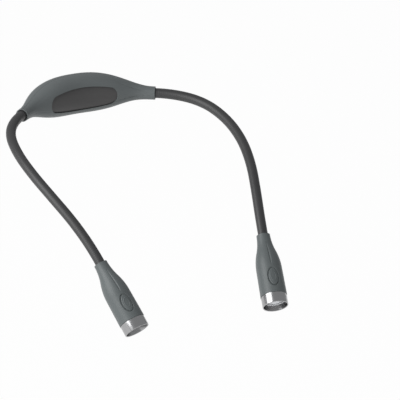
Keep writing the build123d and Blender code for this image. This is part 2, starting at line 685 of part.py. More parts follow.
def make_reflector():
    """Polished bowl with a flange that the lens holds against the spigot."""
    flange_back = SPIGOT_END + REFLECTOR_PLAY
    flange_front = LENS_BACK - REFLECTOR_PLAY
    throat = (REFLECTOR_THROAT_RADIUS, REFLECTOR_BACK)
    mouth = (REFLECTOR_MOUTH_RADIUS - REFLECTOR_WALL, flange_front)
    belly = (REFLECTOR_BELLY_RADIUS, REFLECTOR_BACK + REFLECTOR_BELLY_DEPTH)
    outer_throat = (REFLECTOR_THROAT_RADIUS + REFLECTOR_WALL, REFLECTOR_BACK)
    outer_belly = (belly[0] + REFLECTOR_WALL * 0.8, belly[1] - REFLECTOR_WALL * 0.6)
    outer_mouth = (REFLECTOR_MOUTH_RADIUS, flange_back)
    edges = [
        ThreePointArc(throat, belly, mouth),
        Line(mouth, (SPIGOT_RADIUS, flange_front)),
        Line((SPIGOT_RADIUS, flange_front), (SPIGOT_RADIUS, flange_back)),
        Line((SPIGOT_RADIUS, flange_back), outer_mouth),
        ThreePointArc(outer_mouth, outer_belly, outer_throat),
        Line(outer_throat, throat),
    ]
    return revolve(Plane.XZ * make_face(edges), Axis.Z)


def make_button():
    """Oval cap that follows the grip's surface, with a flange inside the barrel and a stem."""
    cap = button_bar(BUTTON_LENGTH, BUTTON_WIDTH, FLANGE_TOP - FLANGE_PLATE, 2 * BEZEL_RADIUS)
    cap = cap & head_form(-BUTTON_PROUD)
    length, width = BUTTON_LENGTH * RELIEF_SHARE, BUTTON_WIDTH * RELIEF_SHARE
    line = button_bar(length, width, FLANGE_TOP, 2 * BEZEL_RADIUS)
    line -= button_bar(length - RELIEF_WIDTH, width - RELIEF_WIDTH, 0, 2 * BEZEL_RADIUS)
    cap += line & head_form(-BUTTON_PROUD - RELIEF_HEIGHT)
    flange = button_bar(
        BUTTON_LENGTH + 2 * FLANGE_LIP,
        BUTTON_WIDTH + 2 * FLANGE_LIP,
        FLANGE_TOP - FLANGE_PLATE,
        FLANGE_TOP,
    )
    stem_end = SWITCH_BOARD_TOP + SWITCH_HEIGHT + STEM_GAP
    stem_face = Plane(origin=(stem_end, 0, BUTTON_POSITION), z_dir=(1, 0, 0)) * Circle(STEM_RADIUS)
    return cap + flange + extrude(stem_face, FLANGE_TOP - stem_end)


def make_switch():
    """Low tact switch with a round well that the button's stem presses into."""
    middle = SWITCH_BOARD_TOP + SWITCH_HEIGHT / 2
    body = Pos(middle, 0, BUTTON_POSITION) * Box(SWITCH_HEIGHT, SWITCH_WIDTH, SWITCH_LENGTH)
    well = Plane(origin=(SWITCH_BOARD_TOP + SWITCH_HEIGHT, 0, BUTTON_POSITION), z_dir=(-1, 0, 0)) * Circle(
        STEM_RADIUS + STEM_CLEARANCE
    )
    return body - extrude(well, SWITCH_WELL_DEPTH)


def make_switch_board():
    middle = (SWITCH_BOARD_START + SWITCH_BOARD_END) / 2
    board = Box(SWITCH_BOARD_THICKNESS, SWITCH_BOARD_WIDTH, SWITCH_BOARD_END - SWITCH_BOARD_START)
    return Pos(SWITCH_BOARD_TOP - SWITCH_BOARD_THICKNESS / 2, 0, middle) * board


def make_emitter():
    base_top = LED_BOARD_BACK + LED_BOARD_THICKNESS + EMITTER_BASE
    base = Pos(0, 0, base_top - EMITTER_BASE / 2) * Box(EMITTER_SIDE, EMITTER_SIDE, EMITTER_BASE)
    dome = Pos(0, 0, base_top) * Sphere(EMITTER_DOME_RADIUS) & ring(EMITTER_SIDE, base_top, HEAD_LENGTH)
    return base + dome


def make_head(side):
    place = head_plane(side)
    pieces = {
        "grip": make_grip(),
        "barrel": make_barrel(),
        "bezel": make_bezel(),
        "lens": ring(LENS_RADIUS, LENS_BACK, LENS_BACK + LENS_THICKNESS),
        "reflector": make_reflector(),
        "led_board": ring(LED_BOARD_RADIUS, LED_BOARD_BACK, LED_BOARD_BACK + LED_BOARD_THICKNESS),
        "led_emitter": make_emitter(),
        "button": make_button(),
        "tact_switch": make_switch(),
        "switch_board": make_switch_board(),
    }
    for name, piece in pieces.items():
        parts[f"{side}_{name}"] = place * piece


def make_lead(side):
    """Two-core lead from the charge board through the gooseneck to the switch board."""
    links = gooseneck_links()
    mouth = links[0].start
    inside = mouth - links[0].along * (SPINE_TUCK + OVERCUT)
    end = Vector(BOARD_LENGTH / 2, LEAD_END_Y, BOARD_TOP - BOARD_THICKNESS / 2)
    tube = corded([end, end + Vector(LEAD_LOOP, 0, 0), inside - links[0].along * LEAD_LOOP, inside])
    tube += straight_tube(mouth, links[0].along, LEAD_RADIUS, -SPINE_TUCK - OVERCUT, 0)
    for link in links:
        tube += arc_tube(link, LEAD_RADIUS)
    if side == "left":
        tube = mirror(tube, about=Plane.YZ)
    place = head_plane(side)
    bottom = SWITCH_BOARD_TOP - SWITCH_BOARD_THICKNESS / 2
    knee = SPINE_TUCK + LEAD_STRAIGHT
    rise = SWITCH_BOARD_START - LEAD_STRAIGHT
    route = [(0, 0, 0), (0, 0, knee), (bottom, 0, rise), (bottom, 0, SWITCH_BOARD_START)]
    return tube + place * corded([Vector(*p) for p in route])


def corded(points):
    """Round tube of the lead's size along straight runs joined by tangent arcs."""
    radii = []
    for before, corner, after in zip(points, points[1:], points[2:]):
        turn = (corner - before).get_angle(after - corner)
        run = min((corner - before).length, (after - corner).length)
        radii.append(LEAD_BEND_SHARE * run / sin(radians(turn / 2)) * cos(radians(turn / 2)))
    path = FilletPolyline(*points, radius=radii)
    face = Plane(origin=path @ 0, z_dir=path % 0) * Circle(LEAD_RADIUS)
    return sweep(face, path=path)


def main():
    make_housing()
    make_electronics()
    for side in ("left", "right"):
        make_gooseneck(side)
        make_head(side)
        parts[f"{side}_lead"] = make_lead(side)
    os.makedirs("parts", exist_ok=True)
    for name, shape in parts.items():
        export_step(shape, f"parts/{name}.step")
    print(len(parts), "parts")


main()
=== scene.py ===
"""Neck reading light in the pose in which it is worn: finished surfaces, studio and camera.

Sizes are metres and angles are degrees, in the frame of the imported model: X points right,
Y to the back of the neck and Z up. The origin is the middle of the wearer's neck.
"""

from __future__ import annotations

import json
import logging
from collections.abc import Iterable, Sequence
from dataclasses import dataclass
from enum import Enum
from functools import cache
from math import atan2, cos, pi, radians, sin, sqrt, tan

import bmesh
import bpy
from mathutils import Matrix, Vector

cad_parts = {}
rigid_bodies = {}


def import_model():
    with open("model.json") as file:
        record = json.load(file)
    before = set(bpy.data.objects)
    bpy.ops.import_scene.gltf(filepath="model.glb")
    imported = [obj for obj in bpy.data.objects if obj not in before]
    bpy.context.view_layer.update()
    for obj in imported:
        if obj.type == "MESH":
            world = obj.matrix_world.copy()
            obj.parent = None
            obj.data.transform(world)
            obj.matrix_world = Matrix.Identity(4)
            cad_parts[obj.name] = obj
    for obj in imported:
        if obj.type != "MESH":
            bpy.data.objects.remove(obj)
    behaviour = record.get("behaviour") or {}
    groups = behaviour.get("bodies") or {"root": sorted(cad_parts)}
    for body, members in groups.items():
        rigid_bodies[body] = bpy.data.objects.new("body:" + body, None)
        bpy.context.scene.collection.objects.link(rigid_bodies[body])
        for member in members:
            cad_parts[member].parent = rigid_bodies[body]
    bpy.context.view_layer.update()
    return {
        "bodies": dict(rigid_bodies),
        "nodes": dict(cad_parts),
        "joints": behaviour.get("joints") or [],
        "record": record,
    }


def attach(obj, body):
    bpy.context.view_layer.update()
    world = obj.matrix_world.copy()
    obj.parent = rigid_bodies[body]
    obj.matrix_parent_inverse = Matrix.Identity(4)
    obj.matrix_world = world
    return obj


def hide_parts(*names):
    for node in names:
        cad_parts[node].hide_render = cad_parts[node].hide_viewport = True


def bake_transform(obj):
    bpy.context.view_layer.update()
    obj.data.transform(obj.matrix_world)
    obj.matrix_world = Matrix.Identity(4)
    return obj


log = logging.getLogger("neck_light")

HOUSING_BODY = "neck_housing"
SHARP_ANGLE = 34.0
SNUG = 0.00005
COLLAR_HALF_SPAN = 0.0616
COLLARS_BEHIND_NECK = 0.050
MIX_FACTOR, MIX_FIRST_COLOUR, MIX_SECOND_COLOUR, MIX_COLOUR_RESULT = 0, 6, 7, 2
X_AXIS, Y_AXIS, Z_AXIS = Vector((1, 0, 0)), Vector((0, 1, 0)), Vector((0, 0, 1))

Colour = tuple[float, float, float]
Pair = tuple[float, float]
Faces = list[bmesh.types.BMFace]
Verts = list[bmesh.types.BMVert]


class Side(Enum):
    """One of the two arms, by the sign of its X."""

    LEFT = -1
    RIGHT = 1

    @property
    def word(self) -> str:
        """The side's name as node names use it."""
        return self.name.lower()


def smooth_step(value: float, start: float, end: float) -> float:
    """Ease from 0 at start to 1 at end.

    Args:
        value: Where to read the ramp.
        start: Value at which the ramp leaves 0.
        end: Value at which the ramp reaches 1.

    Returns:
        The eased share, from 0 to 1.
    """
    share = min(max((value - start) / (end - start), 0.0), 1.0)
    return share * share * (3 - 2 * share)


def signed_power(value: float, exponent: float) -> float:
    """Raise the size of value to exponent and keep its sign.

    Args:
        value: A number of either sign.
        exponent: The power.

    Returns:
        The power with the sign of value.
    """
    return (abs(value) ** exponent) * (1 if value >= 0 else -1)


# Shader graph


class Signal:
    """One shader socket that takes part in Python arithmetic."""

    def __init__(self, graph: Graph, socket: bpy.types.NodeSocket) -> None:
        """Wrap a socket of the graph."""
        self.graph = graph
        self.socket = socket

    def __add__(self, other: Signal | float) -> Signal:
        """Sum."""
        return self.graph.math("ADD", self, other)

    __radd__ = __add__

    def __mul__(self, other: Signal | float) -> Signal:
        """Product."""
        return self.graph.math("MULTIPLY", self, other)

    __rmul__ = __mul__

    def __sub__(self, other: Signal | float) -> Signal:
        """Difference."""
        return self.graph.math("SUBTRACT", self, other)

    def __rsub__(self, other: Signal | float) -> Signal:
        """Difference, reflected."""
        return self.graph.math("SUBTRACT", other, self)

    def __lt__(self, other: Signal | float) -> Signal:
        """1 where this is less."""
        return self.graph.math("LESS_THAN", self, other)

    def sine(self) -> Signal:
        """Sine of a value in radians."""
        return self.graph.math("SINE", self)

    def swing(self, size: float) -> Signal:
        """Distance of a mask from its middle, 0.5, times size."""
        return (self - 0.5) * size


class Graph:
    """The node tree of one material or world."""

    def __init__(self, tree: bpy.types.NodeTree) -> None:
        """Start from an empty tree."""
        self.tree = tree
        tree.nodes.clear()

    def node(
        self, kind: str, settings: dict | None = None, inputs: dict | None = None
    ) -> bpy.types.Node:
        """Make a node.

        Args:
            kind: The node's type name.
            settings: Attributes to set first.
            inputs: Socket names or numbers, each with a value or a Signal to link.

        Returns:
            The node.
        """
        node = self.tree.nodes.new(kind)
        for name, value in (settings or {}).items():
            setattr(node, name, value)
        for name, value in (inputs or {}).items():
            if isinstance(value, Signal):
                self.tree.links.new(value.socket, node.inputs[name])
            else:
                node.inputs[name].default_value = value
        return node

    def take(
        self, kind: str, output: int | str, settings: dict | None = None, inputs: dict | None = None
    ) -> Signal:
        """Make a node and take one of its outputs.

        Args:
            kind: The node's type name.
            output: The output's name or number.
            settings: As for node.
            inputs: As for node.

        Returns:
            The output.
        """
        return Signal(self, self.node(kind, settings, inputs).outputs[output])

    def math(self, operation: str, *values: Signal | float) -> Signal:
        """Add a Math node on its values and return its result."""
        return self.take("ShaderNodeMath", 0, {"operation": operation}, dict(enumerate(values)))

    def place(self) -> Signal:
        """Object coordinates."""
        return self.take("ShaderNodeTexCoord", "Object")

    def attribute(self, name: str) -> Signal:
        """A number kept on the mesh."""
        return self.take("ShaderNodeAttribute", "Fac", {"attribute_name": name})

    def along(self, value: Signal) -> Signal:
        """Vector whose X is value."""
        return self.take("ShaderNodeCombineXYZ", 0, inputs={"X": value})

    def noise(self, scale: float, detail: float = 2.0, vector: Signal | None = None) -> Signal:
        """Fractal noise.

        Args:
            scale: Cells per metre.
            detail: Number of finer octaves.
            vector: Where it is read; Object coordinates if left out.

        Returns:
            A value about 0.5.
        """
        inputs = {"Vector": vector or self.place(), "Scale": scale, "Detail": detail}
        return self.take("ShaderNodeTexNoise", "Fac", inputs=inputs)

    def blend(self, factor: Signal, first: Colour, second: Colour) -> Signal:
        """Mix two colours."""
        inputs = {MIX_FACTOR: factor, MIX_FIRST_COLOUR: (*first, 1), MIX_SECOND_COLOUR: (*second, 1)}
        return self.take("ShaderNodeMix", MIX_COLOUR_RESULT, {"data_type": "RGBA"}, inputs)

    def bump(self, height: Signal, distance: float) -> Signal:
        """Normal bent by a height from 0 to 1, which is distance metres deep."""
        return self.take("ShaderNodeBump", "Normal", inputs={"Height": height, "Distance": distance})

    def finish(self, **inputs: Signal | float | tuple) -> None:
        """Close a material with a Principled shader.

        Args:
            **inputs: Its sockets, with underscores for spaces.
        """
        named = {name.replace("_", " "): value for name, value in inputs.items()}
        shader = self.take("ShaderNodeBsdfPrincipled", 0, inputs=named)
        self.node("ShaderNodeOutputMaterial", inputs={"Surface": shader})


# Finishes


@dataclass(frozen=True)
class Finish:
    """A surface finish; each kind below draws its own graph."""

    name: str
    colour: Colour
    shades: Pair = (0.92, 1.08)

    def draw(self, graph: Graph) -> None:
        """Draw the finish's nodes.

        Args:
            graph: The material's graph.
        """
        raise NotImplementedError

    @cache
    def material(self) -> bpy.types.Material:
        """The finish's material, made once.

        Returns:
            The material.
        """
        made = bpy.data.materials.new(self.name)
        made.use_nodes = True
        self.draw(Graph(made.node_tree))
        return made

    def tint(self, graph: Graph, mask: Signal) -> Signal:
        """The finish's colour in its first shade where a mask is 0 and its second where it is 1.

        Args:
            graph: The material's graph.
            mask: The mask.

        Returns:
            The colour.
        """
        ends = [tuple(min(part * shade, 1.0) for part in self.colour) for shade in self.shades]
        return graph.blend(mask, *ends)


@dataclass(frozen=True)
class SoftTouch(Finish):
    """Soft-touch moulding: a fine even grain, slightly cloudy."""

    roughness: float = 0.44
    grain: float = 5200.0
    grain_depth: float = 0.00002
    grain_swing: float = 0.12
    cloud: float = 55.0
    cloud_share: float = 0.7
    cloud_swing: float = 0.1
    sheen_level: float = 0.36
    shades: Pair = (0.93, 1.07)

    def draw(self, graph: Graph) -> None:
        """Draw the finish's nodes.

        Args:
            graph: The material's graph.
        """
        cloud = graph.noise(self.cloud, detail=3.0)
        grain = graph.noise(self.grain)
        mottle = cloud * self.cloud_share + grain * (1 - self.cloud_share)
        graph.finish(
            Base_Color=self.tint(graph, mottle),
            Roughness=self.roughness + cloud.swing(self.cloud_swing) + grain.swing(self.grain_swing),
            Normal=graph.bump(grain, self.grain_depth),
            Specular_IOR_Level=self.sheen_level,
        )


@dataclass(frozen=True)
class SleeveRubber(Finish):
    """Thin rubber drawn over a coil, whose turns show as faint rings."""

    pitch: float = 0.0016
    ring_depth: float = 0.000035
    ring_share: float = 0.8
    roughness: float = 0.46
    grain: float = 4200.0
    grain_swing: float = 0.14
    streak: float = 140.0
    streak_share: float = 0.8
    streak_swing: float = 0.1
    shades: Pair = (0.88, 1.12)

    def draw(self, graph: Graph) -> None:
        """Draw the finish's nodes.

        Args:
            graph: The material's graph.
        """
        rings = (graph.attribute("run") * (2 * pi / self.pitch)).sine() * 0.5 + 0.5
        grain = graph.noise(self.grain)
        streak = graph.noise(self.streak, detail=3.0)
        mottle = streak * self.streak_share + rings * (1 - self.streak_share)
        relief = rings * self.ring_share + grain * (1 - self.ring_share)
        graph.finish(
            Base_Color=self.tint(graph, mottle),
            Roughness=self.roughness + grain.swing(self.grain_swing) + streak.swing(self.streak_swing),
            Normal=graph.bump(relief, self.ring_depth),
        )


@dataclass(frozen=True)
class TurnedMetal(Finish):
    """Metal turned on a lathe: fine rings around the axis."""

    roughness: float = 0.24
    ring_scale: float = 9000.0
    ring_depth: float = 0.000003
    ring_swing: float = 0.08
    smudge: float = 180.0
    smudge_swing: float = 0.05
    shades: Pair = (0.96, 1.03)

    def draw(self, graph: Graph) -> None:
        """Draw the finish's nodes.

        Args:
            graph: The material's graph.
        """
        rings = graph.noise(self.ring_scale, vector=graph.along(graph.attribute("run")))
        smudge = graph.noise(self.smudge, detail=3.0)
        graph.finish(
            Base_Color=self.tint(graph, smudge),
            Metallic=1.0,
            Roughness=self.roughness + rings.swing(self.ring_swing) + smudge.swing(self.smudge_swing),
            Normal=graph.bump(rings, self.ring_depth),
        )


@dataclass(frozen=True)
class RolledMetal(Finish):
    """Bright sheet, strip or wire with a faint directionless haze."""

    roughness: float = 0.3
    haze: float = 1500.0
    haze_depth: float = 0.000004
    haze_swing: float = 0.15
    shades: Pair = (0.9, 1.08)

    def draw(self, graph: Graph) -> None:
        """Draw the finish's nodes.

        Args:
            graph: The material's graph.
        """
        haze = graph.noise(self.haze, detail=4.0)
        graph.finish(
            Base_Color=self.tint(graph, haze),
            Metallic=1.0,
            Roughness=self.roughness + haze.swing(self.haze_swing),
            Normal=graph.bump(haze, self.haze_depth),
        )


@dataclass(frozen=True)
class Moulded(Finish):
    """Plain moulded plastic with a slight orange peel."""

    roughness: float = 0.4
    peel: float = 900.0
    peel_depth: float = 0.000008
    peel_swing: float = 0.12

    def draw(self, graph: Graph) -> None:
        """Draw the finish's nodes.

        Args:
            graph: The material's graph.
        """
        peel = graph.noise(self.peel)
        graph.finish(
            Base_Color=self.tint(graph, peel),
            Roughness=self.roughness + peel.swing(self.peel_swing),
            Normal=graph.bump(peel, self.peel_depth),
        )


@dataclass(frozen=True)
class ClearPlastic(Finish):
    """Clear or frosted plastic that light passes through."""

    roughness: float = 0.04
    scuff: float = 700.0
    scuff_swing: float = 0.04
    refraction: float = 1.49
    shades: Pair = (0.98, 1.02)

    def draw(self, graph: Graph) -> None:
        """Draw the finish's nodes.

        Args:
            graph: The material's graph.
        """
        scuff = graph.noise(self.scuff, detail=4.0)
        graph.finish(
            Base_Color=self.tint(graph, scuff),
            Roughness=self.roughness + scuff.swing(self.scuff_swing),
            Transmission_Weight=1.0,
            IOR=self.refraction,
        )


@dataclass(frozen=True)
class SolderMask(Finish):
    """Circuit board: a mask over straight copper tracks on a square raster."""

    track: Colour = (0.03, 0.22, 0.09)
    raster: float = 0.0016
    track_reach: float = 0.07
    track_height: float = 0.00002
    unevenness: float = 0.55
    roughness: float = 0.32
    track_polish: float = 0.08

    def draw(self, graph: Graph) -> None:
        """Draw the finish's nodes.

        Args:
            graph: The material's graph.
        """
        distance = graph.take(
            "ShaderNodeTexVoronoi",
            "Distance",
            {"feature": "DISTANCE_TO_EDGE"},
            {"Vector": graph.place(), "Scale": 1 / self.raster, "Randomness": self.unevenness},
        )
        track = distance < self.track_reach
        graph.finish(
            Base_Color=graph.blend(track, self.colour, self.track),
            Roughness=self.roughness - track * self.track_polish,
            Normal=graph.bump(track, self.track_height),
        )


class Finishes(Enum):
    """Every finish on the light."""

    HOUSING = SoftTouch("housing_soft_grey", (0.135, 0.149, 0.151))
    GRIP = SoftTouch("grip_soft_grey", (0.122, 0.137, 0.139), roughness=0.4)
    BUTTON = SoftTouch("button_soft_grey", (0.118, 0.133, 0.135), roughness=0.46)
    PANEL = SoftTouch("panel_soft_dark", (0.076, 0.074, 0.074), roughness=0.42, grain=3600.0)
    SLEEVE = SleeveRubber("sleeve_drawn_rubber", (0.043, 0.043, 0.044))
    SPINE = RolledMetal("spine_bright_wire", (0.52, 0.52, 0.53))
    BEZEL = TurnedMetal("bezel_turned", (0.42, 0.42, 0.425))
    REFLECTOR = RolledMetal("reflector_plated", (0.86, 0.86, 0.87), roughness=0.22, haze=260.0)
    BARREL = Moulded("barrel_black", (0.02, 0.02, 0.021))
    LENS = ClearPlastic("lens_plastic", (0.96, 0.97, 0.98))
    GUIDE = ClearPlastic("guide_frosted", (0.86, 0.88, 0.88), roughness=0.35)
    LED_BOARD = Moulded("led_board_mask", (0.78, 0.79, 0.77), roughness=0.35)
    EMITTER = Moulded("emitter_phosphor", (0.86, 0.66, 0.12), roughness=0.25)
    SWITCH = Moulded("switch_moulding", (0.025, 0.025, 0.026), roughness=0.35)
    BOARD = SolderMask("board_mask", (0.008, 0.095, 0.035))
    CELL = Moulded("cell_wrapping", (0.03, 0.12, 0.36), roughness=0.28, peel=300.0)
    NICKEL = RolledMetal("tab_nickel", (0.66, 0.64, 0.58))
    PORT = RolledMetal("port_sheet", (0.62, 0.62, 0.63), roughness=0.25)
    TONGUE = Moulded("port_tongue", (0.014, 0.014, 0.015), roughness=0.35)
    SCREW = RolledMetal("screw_zinc", (0.48, 0.48, 0.46), roughness=0.35)
    LEAD = Moulded("lead_insulation", (0.022, 0.022, 0.023), roughness=0.5)


# Meshes


class Mould:
    """One piece's mesh while it is shaped."""

    def __init__(self) -> None:
        """Start empty."""
        self.mesh = bmesh.new()

    def ring(self, outer: float, inner: float, segments: int) -> Faces:
        """Flat ring, or a disc where inner is 0, square to Z at the origin.

        Args:
            outer: Outer radius.
            inner: Inner radius.
            segments: Sides of each circle.

        Returns:
            Its faces.
        """
        if not inner:
            made = bmesh.ops.create_circle(self.mesh, cap_ends=True, segments=segments, radius=outer)
            return list(made["verts"][0].link_faces)
        edges = []
        for radius in (outer, inner):
            made = bmesh.ops.create_circle(self.mesh, segments=segments, radius=radius)
            edges += {edge for vert in made["verts"] for edge in vert.link_edges}
        return bmesh.ops.bridge_loops(self.mesh, edges=edges)["faces"]

    def extrude(self, faces: Faces) -> tuple[Faces, Verts]:
        """Draw faces out, with the new ones still in the old place.

        Args:
            faces: The faces.

        Returns:
            The new faces and their corners.
        """
        made = bmesh.ops.extrude_face_region(self.mesh, geom=faces)["geom"]
        kinds = (bmesh.types.BMFace, bmesh.types.BMVert)
        return tuple([part for part in made if isinstance(part, kind)] for kind in kinds)

    def thicken(self) -> tuple[Verts, set[bmesh.types.BMVert]]:
        """Give the sheet drawn so far a second side.

        Returns:
            The first side's corners and the second side's.
        """
        outer = list(self.mesh.verts)
        return outer, set(self.extrude(self.mesh.faces[:])[1])

    def sweep(self, faces: Faces, frames: Sequence[Matrix], runs: Sequence[float]) -> None:
        """Draw faces at the origin out along a chain of frames.

        Args:
            faces: The section, square to Z at the origin.
            frames: The section's place at each station.
            runs: Distance along the piece at each station, kept as the attribute run.
        """
        layer = self.mesh.verts.layers.float.new("run")
        verts = list(self.mesh.verts)
        bmesh.ops.transform(self.mesh, matrix=frames[0], verts=verts)
        for vert in verts:
            vert[layer] = runs[0]
        for before, after, run in zip(frames, frames[1:], runs[1:]):
            faces, verts = self.extrude(faces)
            bmesh.ops.transform(self.mesh, matrix=after @ before.inverted(), verts=verts)
            for vert in verts:
                vert[layer] = run

    def turn(self, profile: Sequence[Pair], steps: int, closed: bool = True) -> None:
        """Spin a profile of (radius, distance along Z) right round Z.

        Args:
            profile: The outline's corners in order.
            steps: Steps in the full turn.
            closed: Whether the last corner joins the first; otherwise both lie on the axis.
        """
        layer = self.mesh.verts.layers.float.new("run")
        corners = [self.mesh.verts.new((radius, 0, height)) for radius, height in profile]
        pairs = list(zip(corners, corners[1:])) + ([(corners[-1], corners[0])] if closed else [])
        edges = [self.mesh.edges.new(pair) for pair in pairs]
        bmesh.ops.spin(
            self.mesh,
            geom=corners + edges,
            cent=(0, 0, 0),
            axis=(0, 0, 1),
            dvec=(0, 0, 0),
            angle=2 * pi,
            steps=steps,
            use_merge=True,
            use_normal_flip=False,
            use_duplicate=False,
        )
        bmesh.ops.remove_doubles(self.mesh, verts=self.mesh.verts, dist=1e-7)
        for vert in self.mesh.verts:
            vert[layer] = vert.co.z

    def grid(self, across: int, down: int) -> None:
        """Flat grid from 0 to 1 in X and Y, of so many cells each way."""
        made = bmesh.ops.create_grid(self.mesh, x_segments=across, y_segments=down, size=0.5)
        bmesh.ops.translate(self.mesh, verts=made["verts"], vec=(0.5, 0.5, 0))

    def prism(
        self, outline: Sequence[Pair], place: Matrix, length: float, inset: float = 0.0
    ) -> None:
        """Straight bar with a drawn outline.

        Args:
            outline: Its corners in X and Y.
            place: Where the outline lies; the bar goes out along its Z.
            length: The bar's length.
            inset: How far the outline is drawn in first.
        """
        corners = [self.mesh.verts.new((x, y, 0)) for x, y in outline]
        face = self.mesh.faces.new(corners)
        if inset:
            rim = self.inset([face], inset)
            bmesh.ops.delete(self.mesh, geom=rim, context="FACES")
        bmesh.ops.transform(self.mesh, matrix=place, verts=self.mesh.verts)
        _, verts = self.extrude([face])
        bmesh.ops.translate(self.mesh, verts=verts, vec=place.to_3x3() @ Vector((0, 0, length)))

    def inset(self, faces: Faces, width: float) -> Faces:
        """Draw faces in from their edge.

        Args:
            faces: The faces, which stay the inner ones.
            width: Width of the rim that is left around them.

        Returns:
            The rim's faces.
        """
        rim = bmesh.ops.inset_region(
            self.mesh, faces=faces, thickness=width, use_even_offset=True, use_boundary=True
        )
        return rim["faces"]

    def piece(self, name: str, place: Matrix | None = None) -> bpy.types.Object:
        """Turn the shape into an object at the origin.

        Args:
            name: The object's name.
            place: Where the shape goes; its place is kept in the mesh.

        Returns:
            The object, smooth apart from its sharp edges.
        """
        if place is not None:
            bmesh.ops.transform(self.mesh, matrix=place, verts=self.mesh.verts)
        bmesh.ops.recalc_face_normals(self.mesh, faces=self.mesh.faces)
        data = bpy.data.meshes.new(name)
        self.mesh.to_mesh(data)
        self.mesh.free()
        smooth(data)
        return stand(name, data)


def smooth(data: bpy.types.Mesh) -> None:
    """Shade a mesh smooth apart from its sharp edges."""
    data.shade_smooth()
    data.set_sharp_from_angle(angle=radians(SHARP_ANGLE))


def stand(name: str, data: bpy.types.ID) -> bpy.types.Object:
    """Put a mesh, curve, lamp or camera into the scene.

    Args:
        name: The object's name.
        data: What it shows.

    Returns:
        The object, at the origin.
    """
    made = bpy.data.objects.new(name, data)
    bpy.context.scene.collection.objects.link(made)
    return made


def cut(body: bpy.types.Object, tool: bpy.types.Object, operation: str) -> bpy.types.Object:
    """Join, cut or keep the overlap of body with tool, and remove tool.

    Args:
        body: The piece that is changed.
        tool: The piece that it is combined with.
        operation: DIFFERENCE, INTERSECT or UNION.

    Returns:
        The changed piece.
    """
    modifier = body.modifiers.new("cut", "BOOLEAN")
    modifier.object = tool
    modifier.operation = operation
    modifier.solver = "EXACT"
    bpy.context.view_layer.update()
    result = body.evaluated_get(bpy.context.evaluated_depsgraph_get())
    data = bpy.data.meshes.new_from_object(result)
    body.modifiers.clear()
    body.data = data
    bpy.data.objects.remove(tool)
    smooth(data)
    return body


def soften(piece: bpy.types.Object, width: float, segments: int = 2) -> bpy.types.Object:
    """Break a piece's sharp edges with a small bevel.

    Args:
        piece: The piece.
        width: The bevel's width.
        segments: Its steps.

    Returns:
        The same piece.
    """
    bevel = piece.modifiers.new("edge", "BEVEL")
    bevel.width = width
    bevel.segments = segments
    bevel.limit_method = "ANGLE"
    bevel.angle_limit = radians(SHARP_ANGLE)
    bevel.harden_normals = True
    return piece


def dress(piece: bpy.types.Object, finish: Finishes) -> None:
    """Give a piece one finish, in place of what it had."""
    piece.data.materials.clear()
    piece.data.materials.append(finish.value.material())


def settle(
    piece: bpy.types.Object, finish: Finishes, slot: str, body: str, *nodes: str
) -> None:
    """Dress a rigid piece, fix it to its body and let it stand for CAD nodes.

    Args:
        piece: The piece.
        finish: Its finish.
        slot: The record's material slot; not used.
        body: The body that it moves with.
        *nodes: The CAD nodes that it stands for.
    """
    dress(piece, finish)
    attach(piece, body)
    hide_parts(*nodes)
    log.info("%s stands for %s", piece.name, ", ".join(nodes))


def frame_from(x_axis: Vector, z_axis: Vector, origin: Vector) -> Matrix:
    """Frame with those X and Z directions at origin.

    Args:
        x_axis: Direction of its X, of length 1.
        z_axis: Direction of its Z, of length 1 and square to X.
        origin: Where it lies.

    Returns:
        The frame.
    """
    y_axis = z_axis.cross(x_axis)
    frame = Matrix((x_axis, y_axis, z_axis)).transposed().to_4x4()
    frame.translation = origin
    return frame


def round_line(x: float, radius: float, start: float, sweep: float, steps: int) -> list[Pair]:
    """Corners along an arc about (x, 0).

    Args:
        x: The centre's X.
        radius: The arc's radius.
        start: Where it starts, in degrees from X.
        sweep: How far it goes, in degrees.
        steps: The number of steps.

    Returns:
        The corners in X and Y, both ends too.
    """
    turns = [radians(start + sweep * i / steps) for i in range(steps + 1)]
    return [(x + radius * cos(turn), radius * sin(turn)) for turn in turns]


# Sub-assemblies


